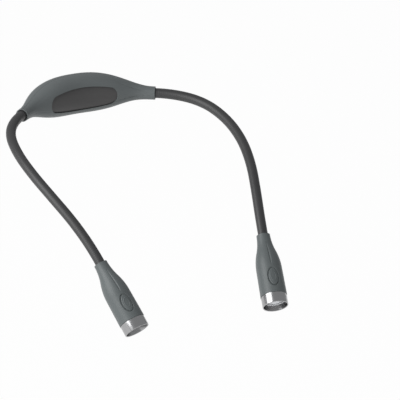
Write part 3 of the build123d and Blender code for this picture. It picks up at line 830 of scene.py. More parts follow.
@dataclass
class NeckHousing:
    """Crescent housing: two shells along an arc that ends in short straight runs, and its panel."""

    collar_half_span: float = COLLAR_HALF_SPAN
    collars_behind_neck: float = COLLARS_BEHIND_NECK
    arc_half_angle: float = 36.0
    arc_radius: float = 0.088
    collar_radius: float = 0.00535
    crown: float = 0.0184
    belly: float = 0.0136
    half_thickness: float = 0.014
    crown_swell: Pair = (2.8, 2.6)
    belly_swell: Pair = (3.5, 4.8)
    thickness_swell: Pair = (4.4, 5.0)
    squareness: float = 2.3
    wall: float = 0.0017
    collar_wall: float = 0.00085
    collar_bore_depth: float = 0.009
    collar_fade: float = 0.003
    seam_depth: float = 0.00025
    seam_angle: float = 2.2
    panel_half_width: float = 0.0305
    panel_top: float = 0.0108
    panel_bottom: float = -0.0084
    panel_shoulder: float = 0.023
    panel_top_shoulder: float = 0.0087
    panel_bottom_shoulder: float = -0.0066
    panel_corner: float = 0.0035
    panel_steps: int = 40
    corner_steps: int = 9
    panel_gap: float = 0.0006
    panel_recess: float = 0.0008
    panel_thickness: float = 0.0016
    floor_depth: float = 0.0036
    floor_fade: Pair = (0.047, 0.040)
    slab_reach: float = 0.044
    slab_angles: Pair = (100.0, 160.0)
    slab_cells: tuple[int, int] = (120, 48)
    above_skin: float = 0.001
    panel_bar_length: float = 0.05
    rear_bar_length: float = 0.03
    shell_cells: tuple[int, int] = (220, 112)
    port_height: float = -0.0058
    port_size: Pair = (0.00944, 0.0037)
    port_steps: int = 16
    guide_x: float = 0.0095
    guide_radius: float = 0.00125
    guide_sides: int = 32
    flute_start: float = 0.033
    flute_end: float = 0.061
    flute_depths: Pair = (0.00012, 0.0005)
    flute_half_angle: float = 3.4
    flute_angles: tuple[Pair, ...] = ((128.0, 152.0), (206.0, 196.0))

    def __post_init__(self) -> None:
        """Work out the centreline's lengths."""
        self.half_arc = self.arc_radius * radians(self.arc_half_angle)
        reach = self.arc_radius * sin(radians(self.arc_half_angle))
        self.run = (self.collar_half_span - reach) / cos(radians(self.arc_half_angle))
        self.half_length = self.half_arc + self.run
        self.centre_y = (
            self.collars_behind_neck
            + self.run * sin(radians(self.arc_half_angle))
            - self.arc_radius * cos(radians(self.arc_half_angle))
        )
        self.crest = Vector((0, self.centre_y + self.arc_radius, 0))

    def point(self, s: float, angle: float, inset: float) -> Vector:
        """Point of the skin.

        Args:
            s: Place along the centreline from its middle.
            angle: Turn around the section from straight outwards, in degrees.
            inset: Depth under the skin.

        Returns:
            The point.
        """
        off = min(abs(s) / self.half_length, 1.0)
        swells = (self.crown_swell, self.belly_swell, self.thickness_swell)
        shares = [(1 - off**fall) ** hold for fall, hold in swells]
        full = (self.crown, self.belly, self.half_thickness)
        crown, belly, thickness = (
            self.collar_radius + (size - self.collar_radius) * share for size, share in zip(full, shares)
        )
        exponent = 2 / (2 + (self.squareness - 2) * shares[0])
        outwards = (thickness - inset) * signed_power(cos(radians(angle)), exponent)
        height = (crown - belly) / 2
        height += ((crown + belly) / 2 - inset) * signed_power(sin(radians(angle)), exponent)
        side = 1 if s >= 0 else -1
        turn = min(abs(s), self.half_arc) / self.arc_radius
        beyond = max(abs(s) - self.half_arc, 0)
        x = side * ((self.arc_radius + outwards) * sin(turn) + beyond * cos(turn))
        y = self.centre_y + (self.arc_radius + outwards) * cos(turn) - beyond * sin(turn)
        return Vector((x, y, height))

    def flute(self, s: float, angle: float) -> float:
        """Depth of the two shallow flutes that run from each end of the panel to its collar.

        Args:
            s: Place along the centreline.
            angle: Turn around the section, in degrees.

        Returns:
            Extra depth under the skin.
        """
        share = (abs(s) - self.flute_start) / (self.flute_end - self.flute_start)
        if not 0 < share < 1:
            return 0.0
        depth = 0.0
        for near, far in self.flute_angles:
            off = abs(angle - near - (far - near) * share) / (self.flute_half_angle * (1 + share))
            depth += self.flute_depths[s > 0] * sqrt(sin(pi * share)) * max(1 - off, 0)
        return depth

    def inner_wall(self, s: float, front: bool) -> float:
        """Thickness of the shell, thin at the collars and with the panel's floor in front.

        Args:
            s: Place along the centreline.
            front: Whether it is the shell against the neck.

        Returns:
            The thickness.
        """
        bore_end = self.half_length - self.collar_bore_depth
        past_collar = smooth_step(abs(s), bore_end, bore_end - self.collar_fade)
        wall = self.collar_wall + (self.wall - self.collar_wall) * past_collar
        floor = smooth_step(abs(s), *self.floor_fade) if front else 0.0
        return wall + (self.floor_depth - wall) * floor

    def shell(self, name: str, front: bool) -> bpy.types.Object:
        """One of the two shells as a closed wall.

        Args:
            name: The piece's name.
            front: Whether it is the shell against the neck.

        Returns:
            The shell.
        """
        mould = Mould()
        start = 90.0 if front else -90.0
        mould.grid(*self.shell_cells)
        outer, inner = mould.thicken()
        for vert in [*outer, *inner]:
            s, angle = (2 * vert.co.x - 1) * self.half_length, start + 180.0 * vert.co.y
            depth = self.flute(s, angle)
            if vert in inner:
                depth = self.inner_wall(s, front) + depth / 2
            else:
                off_seam = 90.0 - abs(angle - start - 90.0)
                depth += self.seam_depth * max(1 - off_seam / self.seam_angle, 0)
            vert.co = self.point(s, angle, depth)
        return mould.piece(name)

    def slab(self, name: str, outer: float, inner: float) -> bpy.types.Object:
        """Curved slab under the front skin, between two depths.

        Args:
            name: The piece's name.
            outer: Depth of its outer side under the skin.
            inner: Depth of its inner side.

        Returns:
            The slab.
        """
        mould = Mould()
        mould.grid(*self.slab_cells)
        start, sweep = self.slab_angles
        high, low = mould.thicken()
        for vert in [*high, *low]:
            s, angle = (2 * vert.co.x - 1) * self.slab_reach, start + sweep * vert.co.y
            vert.co = self.point(s, angle, inner if vert in low else outer)
        return mould.piece(name)

    def panel_outline(self) -> list[Pair]:
        """The panel's outline in X and Z, with rounded corners.

        Returns:
            Its corners in order.
        """
        x, top, bottom = self.panel_shoulder, self.panel_top_shoulder, self.panel_bottom_shoulder
        side, middle = self.panel_half_width, (top + bottom) / 2
        shoulders = [Vector(place) for place in ((-x, top), (x, top), (x, bottom), (-x, bottom))]
        crests = [(0, self.panel_top), (side, middle), (0, self.panel_bottom), (-side, middle)]
        outline = []
        for start, crest, end in zip(shoulders, crests, shoulders[1:] + shoulders[:1]):
            shares = (i / self.panel_steps for i in range(self.panel_steps))
            outline += [self.arc(start, Vector(crest), end, share) for share in shares]
        return self.rounded(outline)

    @staticmethod
    def arc(start: Vector, crest: Vector, end: Vector, share: float) -> Vector:
        """Point of the circular arc through three points.

        Args:
            start: Where the arc starts.
            crest: Its middle.
            end: Where it ends.
            share: Share of the way along it.

        Returns:
            The point.
        """
        chord = end - start
        middle = (start + end) / 2
        rise = crest - middle
        radius = (chord.length_squared / 4 + rise.length_squared) / (2 * rise.length)
        centre = middle + rise.normalized() * (rise.length - radius)
        first = start - centre
        turn = -first.angle_signed(end - centre) * share
        x = first.x * cos(turn) - first.y * sin(turn)
        y = first.x * sin(turn) + first.y * cos(turn)
        return centre + Vector((x, y))

    def rounded(self, outline: list[Vector]) -> list[Pair]:
        """Replace the stretch about each shoulder by a smooth curve through its ends and corner.

        Args:
            outline: The outline with sharp shoulders, panel_steps corners from one to the next.

        Returns:
            The outline with round shoulders.
        """
        result = []
        for index, place in enumerate(outline):
            corner = round(index / self.panel_steps) * self.panel_steps % len(outline)
            if (place - outline[corner]).length >= self.panel_corner:
                result.append(tuple(place))
            elif index == corner:
                result += self.corner_curve(outline, corner)
        return result

    def corner_curve(self, outline: list[Vector], corner: int) -> list[Pair]:
        """Quadratic curve that rounds one corner of the outline.

        Args:
            outline: The outline.
            corner: The corner's number.

        Returns:
            The curve's corners.
        """
        ends = []
        for step in (-1, 1):
            index = corner
            while (outline[index] - outline[corner]).length < self.panel_corner:
                index = (index + step) % len(outline)
            ends.append(outline[index])
        curve = []
        for i in range(1, self.corner_steps):
            share = i / self.corner_steps
            place = ends[0] * (1 - share) ** 2 + outline[corner] * 2 * share * (1 - share)
            curve.append(tuple(place + ends[1] * share**2))
        return curve

    def panel_bar(self, name: str, inset: float) -> bpy.types.Object:
        """The panel's outline as a bar along Y through the front of the housing.

        Args:
            name: The piece's name.
            inset: How far the outline is drawn in.

        Returns:
            The bar.
        """
        mould = Mould()
        place = frame_from(X_AXIS, -Y_AXIS, self.crest)
        mould.prism(self.panel_outline(), place, self.panel_bar_length, inset)
        return mould.piece(name)

    def rear_bar(self, name: str, outline: Sequence[Pair], x: float) -> bpy.types.Object:
        """Bar along Y through the rear wall at the port's height.

        Args:
            name: The piece's name.
            outline: Its outline.
            x: Where it lies in X.

        Returns:
            The bar.
        """
        mould = Mould()
        place = frame_from(-X_AXIS, Y_AXIS, self.crest + Vector((x, 0, self.port_height)))
        mould.prism(outline, place, self.rear_bar_length)
        return mould.piece(name)

    def port_outline(self) -> list[Pair]:
        """Round-ended outline of the charge port's opening.

        Returns:
            Its corners in order.
        """
        width, height = self.port_size
        middle = (width - height) / 2
        outline = []
        for x, start in ((middle, -90.0), (-middle, 90.0)):
            outline += round_line(x, height / 2, start, 180.0, self.port_steps)
        return outline

    def build(self) -> None:
        """Build and dress the shells and the panel."""
        panel_back = self.panel_recess + self.panel_thickness
        front = self.shell("housing_front", True)
        recess = cut(
            self.panel_bar("recess_bar", 0.0),
            self.slab("recess_slab", -self.above_skin, panel_back + SNUG),
            "INTERSECT",
        )
        cut(front, recess, "DIFFERENCE")
        settle(front, Finishes.HOUSING, "soft_grey", HOUSING_BODY, "front_shell")

        rear = self.shell("housing_rear", False)
        cut(rear, self.rear_bar("port_bar", self.port_outline(), 0.0), "DIFFERENCE")
        guide = round_line(0.0, self.guide_radius, 0.0, 360.0, self.guide_sides)[:-1]
        cut(rear, self.rear_bar("guide_bar", guide, self.guide_x), "DIFFERENCE")
        settle(rear, Finishes.HOUSING, "soft_grey", HOUSING_BODY, "rear_shell")

        panel = cut(
            self.panel_bar("neck_panel", self.panel_gap),
            self.slab("panel_slab", self.panel_recess, panel_back),
            "INTERSECT",
        )
        settle(panel, Finishes.PANEL, "panel_dark", HOUSING_BODY, "pad_panel")


@dataclass(frozen=True)
class Strand:
    """What runs through an arm from end to end."""

    name: str
    radius: float
    bore: float
    tuck: float
    sides: int
    finish: Finishes
    slot: str
    linked: bool = True
    coiled: bool = False

    def nodes(self, word: str, numbers: Iterable[int]) -> list[str]:
        """The CAD nodes of one arm that it stands for.

        Args:
            word: The arm's side.
            numbers: The links, from 1.

        Returns:
            The nodes' names.
        """
        name = f"{word}_{self.name}"
        return [f"{name}_{number}" for number in numbers] if self.linked else [name]


@dataclass
class Gooseneck:
    """One flexible arm: seven tangent arcs from the collar's mouth to the lamp head's neck."""

    side: Side
    collar_half_span: float = COLLAR_HALF_SPAN
    collars_behind_neck: float = COLLARS_BEHIND_NECK
    link_length: float = 0.0271
    yaws: tuple[float, ...] = (54.0, 39.0, 15.0, 0.0, -12.0, -20.0, -20.0, -16.0)
    pitches: tuple[float, ...] = (0.0, 8.0, 18.0, 24.0, 30.0, 36.0, 43.0, 49.0)
    coil_pitch: float = 0.0018
    coil_depth: float = 0.12
    station: float = 0.0009
    sleeve: Strand = Strand(
        "sleeve", 0.004, 0.00255, 0.008, 48, Finishes.SLEEVE, "sleeve_rubber"
    )
    spine: Strand = Strand(
        "spine", 0.0024, 0.00115, 0.0136, 20, Finishes.SPINE, "spine_steel", coiled=True
    )
    lead: Strand = Strand(
        "lead", 0.0008, 0.0, 0.0136, 12, Finishes.LEAD, "lead_jacket", linked=False
    )

    def __post_init__(self) -> None:
        """Count the arcs."""
        self.links = len(self.yaws) - 1
        self.length = self.links * self.link_length

    def heading(self, index: int) -> Vector:
        """Direction at one end of an arc."""
        yaw, pitch = radians(self.yaws[index]), radians(self.pitches[index])
        return Vector((self.side.value * sin(yaw) * cos(pitch), -cos(yaw) * cos(pitch), -sin(pitch)))

    def frame_at(self, run: float) -> Matrix:
        """Frame of the centreline.

        Args:
            run: Distance from the collar's mouth; beyond either end the line goes straight on.

        Returns:
            A frame whose Z points along the arm.
        """
        along = self.heading(0)
        upright = (Z_AXIS - along * along.z).normalized()
        mouth = Vector((self.side.value * self.collar_half_span, self.collars_behind_neck, 0))
        frame = frame_from(upright, along, mouth)
        for index in range(self.links):
            here = min(max(run - index * self.link_length, 0), self.link_length)
            along, onwards = self.heading(index), self.heading(index + 1)
            normal = along.cross(onwards).normalized()
            turn = along.angle(onwards)
            pivot = frame.translation + normal.cross(along) * self.link_length / turn
            swing = Matrix.Translation(pivot) @ Matrix.Rotation(turn * here / self.link_length, 4, normal)
            frame = swing @ Matrix.Translation(-pivot) @ frame
        ahead = max(run - self.length, 0) + min(run, 0)
        return frame @ Matrix.Translation((0, 0, ahead))

    def swell(self, strand: Strand, run: float) -> float:
        """Share of a strand's thickness, which falls between the turns of a coil.

        Args:
            strand: The strand.
            run: Distance from the collar's mouth.

        Returns:
            The share.
        """
        if not strand.coiled:
            return 1.0
        return 1 - self.coil_depth * (0.5 - 0.5 * cos(2 * pi * run / self.coil_pitch))

    def stretch(self, strand: Strand, joint: int) -> bpy.types.Object:
        """Stretch of a strand from mid-link to mid-link; the outer ones go on to the strand's ends.

        Args:
            strand: The strand.
            joint: The joint in its middle, from 1.

        Returns:
            The stretch.
        """
        start = (joint - 0.5) * self.link_length
        end = start + self.link_length
        if joint == 1:
            start = -strand.tuck
        if joint == self.links - 1:
            end = self.length + strand.tuck
        pace = self.coil_pitch / 4 if strand.coiled else self.station
        count = max(round((end - start) / pace), 2)
        runs = [start + (end - start) * i / count for i in range(count + 1)]
        frames = [self.frame_at(run) @ Matrix.Scale(self.swell(strand, run), 4) for run in runs]
        mould = Mould()
        mould.sweep(mould.ring(strand.radius, strand.bore, strand.sides), frames, runs)
        return mould.piece(f"{self.side.word}_{strand.name}_bend_{joint}")

    def flex(self, strand: Strand, joint: int) -> None:
        """Build and dress the stretch that spans one joint, fixed in the worn pose's shape.

        Args:
            strand: The strand.
            joint: The joint's number, from 1.
        """
        piece = self.stretch(strand, joint)
        dress(piece, strand.finish)
        middles = [self.frame_at((joint + half) * self.link_length).translation for half in (-0.5, 0.5)]
        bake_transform(piece)
        numbers = [joint, joint + 1] if joint == self.links - 1 else [joint]
        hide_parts(*strand.nodes(self.side.word, numbers))
        log.info("%s bends at joint %d", piece.name, joint)

    def build(self) -> None:
        """Build the sleeve, the spine and the lead about each joint."""
        for joint in range(1, self.links):
            for strand in (self.sleeve, self.spine, self.lead):
                self.flex(strand, joint)


@dataclass
class LampHead:
    """Lamp head in its own frame: Z from its neck to its bezel, X out through its button."""

    side: Side
    arm: Gooseneck
    length: float = 0.062
    neck_radius: float = 0.0055
    waist_radius: float = 0.0469
    waist_turn: float = 18.4
    shoulder_radius: float = 0.049
    taper: float = 0.8
    grip_length: float = 0.0533
    grip_thickness: float = 0.0015
    grip_bore: float = 0.00435
    bore_depth: float = 0.0086
    bezel_radius: float = 0.0104
    bezel_start: float = 0.05345
    bezel_rim: float = 0.0095
    bezel_throat: float = 0.0087
    rim_rounding: float = 0.00036
    rim_steps: int = 4
    bezel_steps: int = 128
    lathe_steps: int = 96
    bezel_edge: float = 0.0002
    spigot_radius: float = 0.009
    spigot_end: float = 0.0552
    lens_radius: float = 0.0091
    lens_back: float = 0.0561
    lens_thickness: float = 0.0013
    lens_edge: float = 0.0001
    reflector_back: float = 0.050
    reflector_mouth: float = 0.0073
    reflector_throat: float = 0.0025
    reflector_wall: float = 0.0006
    reflector_clearance: float = 0.00002
    reflector_margin: float = 0.0002
    reflector_steps: int = 28
    button_rolls: Pair = (24.0, 0.0)
    button_place: float = 0.040
    button_length: float = 0.0145
    button_width: float = 0.0074
    button_proud: float = 0.00012
    button_gap: float = 0.0001
    button_thickness: float = 0.0014
    button_edge: float = 0.00022
    button_rings: int = 48
    oval_sides: int = 72
    window_depth: float = 0.02
    relief_share: float = 0.54
    relief_height: float = 0.0002
    relief_fade: Pair = (0.02, 0.08)
    oval_fade: Pair = (0.88, 1.0)
    dish_length: float = 0.0174
    dish_width: float = 0.0098
    dish_depth: float = 0.0007
    dish_margin: float = 0.0005
    crease_start: float = 0.006
    crease_end: float = 0.0296
    crease_depth: float = 0.00055
    crease_half_width: float = 0.00095
    crease_lean: float = 1.6
    grip_margin: float = 0.0002
    skin_margin: float = 0.0003
    lead_route: tuple[tuple[float, float, float], ...] = (
        (0, 0, 0.0135),
        (0, 0, 0.0166),
        (0.0037, 0, 0.021),
        (0.0037, 0, 0.024),
    )
    around: int = 180
    inner_stride: int = 4
    crowding: float = 0.6
    pace: float = 0.0006
    fine_pace: float = 0.00018

    def __post_init__(self) -> None:
        """Find the head's frame and the two ends of its shoulder arc."""
        roll = self.button_rolls[self.side is Side.RIGHT]
        end = self.arm.frame_at(self.arm.length)
        along = end.col[2].to_3d()
        upright = (Z_AXIS - along * along.z).normalized()
        button = Matrix.Rotation(radians(roll), 3, along) @ upright
        self.frame = frame_from(button, along, end.translation)
        turn = radians(self.waist_turn)
        self.waist_end = self.waist_radius * sin(turn)
        middle = self.neck_radius + self.waist_radius * (1 - cos(turn))
        self.shoulder_x = middle - self.shoulder_radius * cos(turn)
        self.shoulder_z = self.waist_end + self.shoulder_radius * sin(turn)
        self.flank_start = self.shoulder_z - self.shoulder_radius * sin(radians(self.taper))

    def radius_at(self, z: float) -> float:
        """Radius of the grip's form: a waist arc, a shoulder arc and a slight taper.

        Args:
            z: Place along the head.

        Returns:
            The radius.
        """
        if z < self.waist_end:
            return self.neck_radius + self.waist_radius - sqrt(self.waist_radius**2 - z * z)
        if z < self.flank_start:
            return self.shoulder_x + sqrt(self.shoulder_radius**2 - (z - self.shoulder_z) ** 2)
        edge = self.shoulder_x + self.shoulder_radius * cos(radians(self.taper))
        return edge + (z - self.flank_start) * tan(radians(self.taper))

    def sink(self, y: float, z: float) -> float:
        """Depth of the dish about the button and of the crease that runs to it from the neck.

        Args:
            y: Place across the button's side.
            z: Place along the head.

        Returns:
            Depth under the grip's form.
        """
        ahead = (z - self.button_place) / (self.dish_length / 2)
        beside = y / (self.dish_width / 2)
        dish = self.dish_depth * (1 - smooth_step(sqrt(ahead**2 + beside**2), *self.oval_fade))
        share = (z - self.crease_start) / (self.crease_end - self.crease_start)
        if not 0 < share < 1:
            return dish
        size = sqrt(sin(pi * share**self.crease_lean))
        crease = self.crease_depth * size * max(1 - abs(y) / (self.crease_half_width * size), 0)
        return max(dish, crease)

    def heights(self) -> list[float]:
        """Places along the grip where its mesh has a ring, closer together over the dish.

        Returns:
            The places, from the neck to the grip's end.
        """
        half = self.dish_length / 2
        first = self.button_place - half - self.dish_margin
        last = self.button_place + half + self.dish_margin
        ends = (0.0, first, last, self.grip_length)
        result = [0.0]
        for start, end, pace in zip(ends, ends[1:], (self.pace, self.fine_pace, self.pace)):
            count = round((end - start) / pace)
            result += [start + (end - start) * i / count for i in range(1, count + 1)]
        return result

    def grip(self) -> bpy.types.Object:
        """Overmoulded grip as a closed wall, with the button's window cut through it.

        Returns:
            The grip.
        """
        mould = Mould()
        heights = self.heights()
        outer = [(self.radius_at(z), z) for z in heights]
        sparse = [z for z in heights[-2 :: -self.inner_stride] if z > self.bore_depth]
        deep = [self.grip_length, *sparse, self.bore_depth]
        inner = [(self.radius_at(z) - self.grip_thickness, z) for z in deep]
        bore = [(self.grip_bore, self.bore_depth), (self.grip_bore, 0.0)]
        mould.turn([*outer, *inner, *bore], self.around)
        for vert in mould.mesh.verts:
            radius, z = vert.co.xy.length, vert.co.z
            turn = atan2(vert.co.y, vert.co.x)
            turn -= self.crowding * sin(turn)
            on_skin = radius > self.radius_at(z) - self.skin_margin
            inside_rim = self.grip_margin < z < self.grip_length - self.grip_margin
            if on_skin and inside_rim and cos(turn) > 0:
                radius -= self.sink(radius * sin(turn), z)
            vert.co.xy = (radius * cos(turn), radius * sin(turn))
        grip = mould.piece(f"{self.side.word}_grip_overmould", self.frame)
        window = self.window_bar()
        return cut(grip, window, "DIFFERENCE")

    def window_bar(self) -> bpy.types.Object:
        """Oval bar from the head's axis out through the button's place.

        Returns:
            The bar.
        """
        mould = Mould()
        faces = mould.ring(1.0, 0.0, self.oval_sides)
        size = [side / 2 + self.button_gap for side in (self.button_length, self.button_width)]
        bmesh.ops.scale(mould.mesh, verts=mould.mesh.verts, vec=(*size, 1))
        _, top = mould.extrude(faces)
        bmesh.ops.translate(mould.mesh, verts=top, vec=(0, 0, self.window_depth))
        place = frame_from(Z_AXIS, X_AXIS, Vector((0, 0, self.button_place)))
        return mould.piece(f"{self.side.word}_window_bar", self.frame @ place)

    def button(self) -> bpy.types.Object:
        """Oval cap that follows the grip, with a raised oval line.

        Returns:
            The cap.
        """
        mould = Mould()
        faces = mould.ring(1.0, 0.0, self.oval_sides)
        shares = [i / self.button_rings for i in range(self.button_rings, 0, -1)]
        for before, after in zip(shares, shares[1:]):
            mould.inset(faces, before - after)
        high, low = mould.thicken()
        for vert in [*high, *low]:
            oval = min(sqrt(vert.co.x**2 + vert.co.y**2), 1.0)
            z = self.button_place + vert.co.x * self.button_length / 2
            y = vert.co.y * self.button_width / 2
            radius = self.radius_at(z) + self.button_proud
            if vert in low:
                radius -= self.button_thickness
            else:
                off_line = smooth_step(abs(oval - self.relief_share), *self.relief_fade)
                radius += self.relief_height * (1 - off_line)
                radius -= self.button_edge * smooth_step(oval, *self.oval_fade)
            vert.co = Vector((sqrt(radius**2 - y * y), y, z))
        return mould.piece(f"{self.side.word}_button_cap", self.frame)

    def bezel(self) -> bpy.types.Object:
        """Turned ring with a tapered mouth.

        Returns:
            The bezel.
        """
        seat = self.lens_back + self.lens_thickness + SNUG
        spigot, lens = self.spigot_radius + SNUG, self.lens_radius + SNUG
        rim = self.rim_rounding
        quarter = round_line(0.0, 1.0, 0.0, 90.0, self.rim_steps)
        arc = [(rim * (1 - x), rim * (1 - y)) for x, y in quarter]
        profile = [
            (spigot, self.bezel_start),
            (self.bezel_radius, self.bezel_start),
            *((self.bezel_radius - inwards, self.length - down) for inwards, down in arc),
            *((self.bezel_rim + outwards, self.length - down) for down, outwards in arc),
            (self.bezel_throat, seat),
            (lens, seat),
            (lens, self.spigot_end),
            (spigot, self.spigot_end),
        ]
        mould = Mould()
        mould.turn(profile, self.bezel_steps)
        ring = mould.piece(f"{self.side.word}_bezel_ring", self.frame)
        return soften(ring, self.bezel_edge, segments=3)

    def lens(self) -> bpy.types.Object:
        """Clear disc.

        Returns:
            The lens.
        """
        front = self.lens_back + self.lens_thickness
        mould = Mould()
        rim = [(self.lens_radius, self.lens_back), (self.lens_radius, front)]
        mould.turn([(0, self.lens_back), *rim, (0, front)], self.lathe_steps, False)
        return soften(mould.piece(f"{self.side.word}_lens_disc", self.frame), self.lens_edge)

    def reflector(self) -> bpy.types.Object:
        """Bowl that opens as a parabola from the emitter to a flat flange.

        Returns:
            The reflector.
        """
        front = self.lens_back - self.reflector_clearance
        wall, back, throat = self.reflector_wall, self.reflector_back, self.reflector_throat
        mouth = self.reflector_mouth - wall
        bowl = []
        for i in range(self.reflector_steps + 1):
            radius = throat + (mouth - throat) * i / self.reflector_steps
            rise = (radius**2 - throat**2) / (mouth**2 - throat**2)
            bowl.append((radius, back + (front - back) * rise))
        outside = [(radius + wall, z - wall / 2) for radius, z in bowl[::-2][:-1]]
        outside = [place for place in outside if place[1] > back + self.reflector_margin]
        flange = [(self.spigot_radius, front), (self.spigot_radius, front - wall)]
        mould = Mould()
        mould.turn([*bowl, *flange, *outside, (throat + wall, back)], self.lathe_steps)
        return mould.piece(f"{self.side.word}_reflector_bowl", self.frame)

    def lead_tail(self) -> bpy.types.Object:
        """End of the lead, from the spine's end to the switch board."""
        places = [self.frame @ Vector(place) for place in self.lead_route]
        return lead_piece(f"{self.side.word}_lead_tail", places, self.arm.lead.radius)

    def build(self) -> None:
        """Build and dress the head's pieces."""
        lamp, button = f"{self.side.word}_lamp", f"{self.side.word}_push_button"
        for node, make, finish, slot, body in (
            ("grip", self.grip, Finishes.GRIP, "grip_rubber", lamp),
            ("button", self.button, Finishes.BUTTON, "grip_rubber", button),
            ("bezel", self.bezel, Finishes.BEZEL, "bezel_aluminium", lamp),
            ("lens", self.lens, Finishes.LENS, "lens_clear", lamp),
            ("reflector", self.reflector, Finishes.REFLECTOR, "reflector_chrome", lamp),
            ("lead", self.lead_tail, Finishes.LEAD, "lead_jacket", lamp),
        ):
            settle(make(), finish, slot, body, f"{self.side.word}_{node}")


def lead_piece(name: str, places: Sequence[Vector], radius: float) -> bpy.types.Object:
    """Round cord along a smooth line with those control points.

    Args:
        name: The piece's name.
        places: The line's control points.
        radius: The cord's radius.

    Returns:
        The cord as a mesh.
    """
    curve = bpy.data.curves.new(name, "CURVE")
    curve.dimensions = "3D"
    curve.bevel_depth = radius
    curve.bevel_resolution = 3
    curve.use_fill_caps = True
    spline = curve.splines.new("NURBS")
    spline.points.add(len(places) - 1)
    for point, place in zip(spline.points, places):
        point.co = (*place, 1)
    spline.order_u = 3
    spline.use_endpoint_u = True
    spline.resolution_u = 12
    drawn = stand(name + "_line", curve)
    bpy.context.view_layer.update()
    data = bpy.data.meshes.new_from_object(drawn.evaluated_get(bpy.context.evaluated_depsgraph_get()))
    bpy.data.objects.remove(drawn)
    data.shade_smooth()
    return stand(name, data)


@dataclass
class Electronics:
    """What the housing and the heads hold, dressed as it is, and the leads inside the housing."""

    board_edge: tuple[float, float, float] = (0.017, 0.0781, -0.008)
    first_run: float = 0.0075
    into_collar: float = 0.0146
    last_run: float = 0.008
    plain: tuple[tuple[str, Finishes], ...] = (
        ("housing_screws", Finishes.SCREW),
        ("battery_cell", Finishes.CELL),
        ("battery_tabs", Finishes.NICKEL),
        ("charge_board", Finishes.BOARD),
        ("usb_c_shell", Finishes.PORT),
        ("usb_c_tongue", Finishes.TONGUE),
        ("charge_light_guide", Finishes.GUIDE),
    )
    per_head: tuple[tuple[str, Finishes], ...] = (
        ("barrel", Finishes.BARREL),
        ("led_board", Finishes.LED_BOARD),
        ("led_emitter", Finishes.EMITTER),
        ("tact_switch", Finishes.SWITCH),
        ("switch_board", Finishes.BOARD),
    )

    def build(self, nodes: dict[str, bpy.types.Object], arms: Iterable[Gooseneck]) -> None:
        """Dress the nodes and lay the leads.

        Args:
            nodes: The CAD nodes by name.
            arms: Both goosenecks.
        """
        for name, finish in self.plain:
            dress(nodes[name], finish)
            log.info("%s dressed", name)
        for arm in arms:
            for name, finish in self.per_head:
                dress(nodes[f"{arm.side.word}_{name}"], finish)
                log.info("%s_%s dressed", arm.side.word, name)
            self.lay_lead(arm)

    def lay_lead(self, arm: Gooseneck) -> None:
        """Lead from the charge board's edge to the gooseneck's end inside the collar.

        Args:
            arm: The gooseneck.
        """
        flip = arm.side.value
        edge = Vector((flip * self.board_edge[0], *self.board_edge[1:]))
        inside = arm.frame_at(-self.into_collar)
        places = [
            edge,
            edge + Vector((flip * self.first_run, 0, 0)),
            inside @ Vector((0, 0, -self.last_run)),
            inside.translation,
            arm.frame_at(-arm.spine.tuck).translation,
        ]
        lead = lead_piece(f"{arm.side.word}_lead_run", places, arm.lead.radius)
        settle(lead, Finishes.LEAD, "lead_jacket", HOUSING_BODY, f"{arm.side.word}_lead")


# Studio


@dataclass(frozen=True)
class SoftBox:
    """A lamp behind a diffusing sheet, placed as the camera sees it."""

    name: str
    turn: float
    rise: float
    distance: float
    size: Pair
    radiance: float

    def power(self) -> float:
        """Watts that give the radiance over the sheet."""
        return self.radiance * pi * self.size[0] * self.size[1]


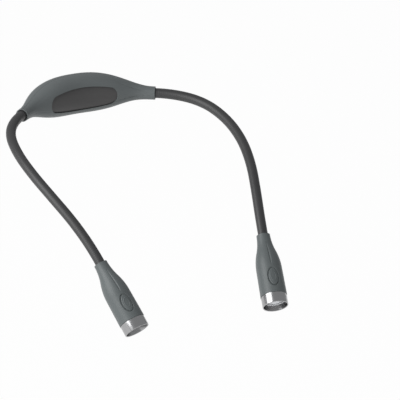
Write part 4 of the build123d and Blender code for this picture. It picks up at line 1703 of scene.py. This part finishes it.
@dataclass
class Studio:
    """Pale floor, soft light and a long lens at the photograph's angle."""

    azimuth: float = -30.0
    elevation: float = 17.25
    distance: float = 14.0
    frame_width: float = 0.3212
    sensor_width: float = 36.0
    aim: tuple[float, float, float] = (0.06597, -0.01443, -0.07346)
    floor_level: float = -0.30
    floor_size: float = 60.0
    floor_colour: Colour = (0.85, 0.85, 0.85)
    floor_glow: float = 0.97
    surroundings: Colour = (0.40, 0.405, 0.41)
    white: Colour = (1.0, 1.0, 1.0)
    lamps: tuple[SoftBox, ...] = (
        SoftBox("key", -52.0, 18.0, 1.4, (1.1, 1.2), 4.0),
    )

    def directions(self) -> tuple[Vector, Vector, Vector]:
        """The view's directions: to the camera, to the right and up.

        Returns:
            The three directions.
        """
        azimuth, elevation = radians(self.azimuth), radians(self.elevation)
        right = Vector((cos(azimuth), sin(azimuth), 0))
        level = Vector((sin(azimuth), -cos(azimuth), 0))
        back = level * cos(elevation) + Z_AXIS * sin(elevation)
        return back, right, back.cross(right)

    def camera(self) -> None:
        """Stand the camera."""
        back, right, _ = self.directions()
        data = bpy.data.cameras.new("camera")
        data.sensor_width = self.sensor_width
        data.lens = self.sensor_width * self.distance / self.frame_width
        data.clip_end = 2 * self.distance + self.floor_size
        data.dof.use_dof = False
        camera = stand("camera", data)
        camera.matrix_world = frame_from(right, back, Vector(self.aim) + back * self.distance)
        bpy.context.scene.camera = camera

    def hang(self, box: SoftBox) -> None:
        """Hang a soft box.

        Args:
            box: The lamp; its turn is to the right of the camera and its rise above it.
        """
        back, right, up = self.directions()
        turn, rise = radians(box.turn), radians(box.rise)
        towards = (back * cos(turn) + right * sin(turn)) * cos(rise) + up * sin(rise)
        data = bpy.data.lights.new(box.name, "AREA")
        data.shape = "RECTANGLE"
        data.size, data.size_y = box.size
        data.energy = box.power()
        across = up.cross(towards).normalized()
        lamp = stand(box.name, data)
        lamp.matrix_world = frame_from(across, towards, Vector(self.aim) + towards * box.distance)

    def two_ways(
        self, graph: Graph, rays: Sequence[str], share: float, plain: Signal, seen: Signal
    ) -> Signal:
        """Shader that differs for some kinds of ray.

        Args:
            graph: The graph.
            rays: The Light Path outputs of those rays.
            share: Share of seen in what they meet.
            plain: Shader for every other ray.
            seen: Shader for those rays.

        Returns:
            The mixed shader.
        """
        path = graph.node("ShaderNodeLightPath")
        seeing = Signal(graph, path.outputs[rays[0]])
        for ray in rays[1:]:
            seeing = seeing + Signal(graph, path.outputs[ray])
        inputs = {0: seeing * share, 1: plain, 2: seen}
        return graph.take("ShaderNodeMixShader", 0, inputs=inputs)

    def floor(self) -> None:
        """Lay a pale floor that keeps a faint shadow."""
        mould = Mould()
        bmesh.ops.create_grid(mould.mesh, x_segments=1, y_segments=1, size=self.floor_size / 2)
        floor = mould.piece("floor", Matrix.Translation((0, 0, self.floor_level)))
        material = bpy.data.materials.new("floor_pale")
        material.use_nodes = True
        graph = Graph(material.node_tree)
        plain = graph.take("ShaderNodeBsdfDiffuse", 0, inputs={"Color": (*self.floor_colour, 1)})
        seen = graph.take("ShaderNodeEmission", 0, inputs={"Color": (*self.white, 1), "Strength": 1.0})
        rays = ("Is Camera Ray", "Is Glossy Ray", "Is Transmission Ray")
        surface = self.two_ways(graph, rays, self.floor_glow, plain, seen)
        graph.node("ShaderNodeOutputMaterial", inputs={"Surface": surface})
        floor.data.materials.append(material)

    def world(self) -> None:
        """Grey surroundings, white where the camera looks straight at them."""
        world = bpy.data.worlds.new("studio")
        world.use_nodes = True
        bpy.context.scene.world = world
        graph = Graph(world.node_tree)
        colours = (self.surroundings, self.white)
        plain, seen = (
            graph.take("ShaderNodeBackground", 0, inputs={"Color": (*colour, 1)}) for colour in colours
        )
        surface = self.two_ways(graph, ("Is Camera Ray", "Is Transmission Ray"), 1.0, plain, seen)
        graph.node("ShaderNodeOutputWorld", inputs={"Surface": surface})

    def build(self) -> None:
        """Set up the whole studio."""
        self.camera()
        self.floor()
        self.world()
        for box in self.lamps:
            self.hang(box)
        bpy.context.scene.view_settings.view_transform = "Standard"


def main() -> None:
    """Build the light and its studio."""
    logging.basicConfig(level=logging.INFO, format="%(message)s")
    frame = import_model()
    studio = Studio()
    studio.build()
    NeckHousing().build()
    arms = [Gooseneck(side) for side in Side]
    for arm in arms:
        arm.build()
        LampHead(arm.side, arm).build()
    Electronics().build(frame["nodes"], arms)


if __name__ == "__main__":
    main()
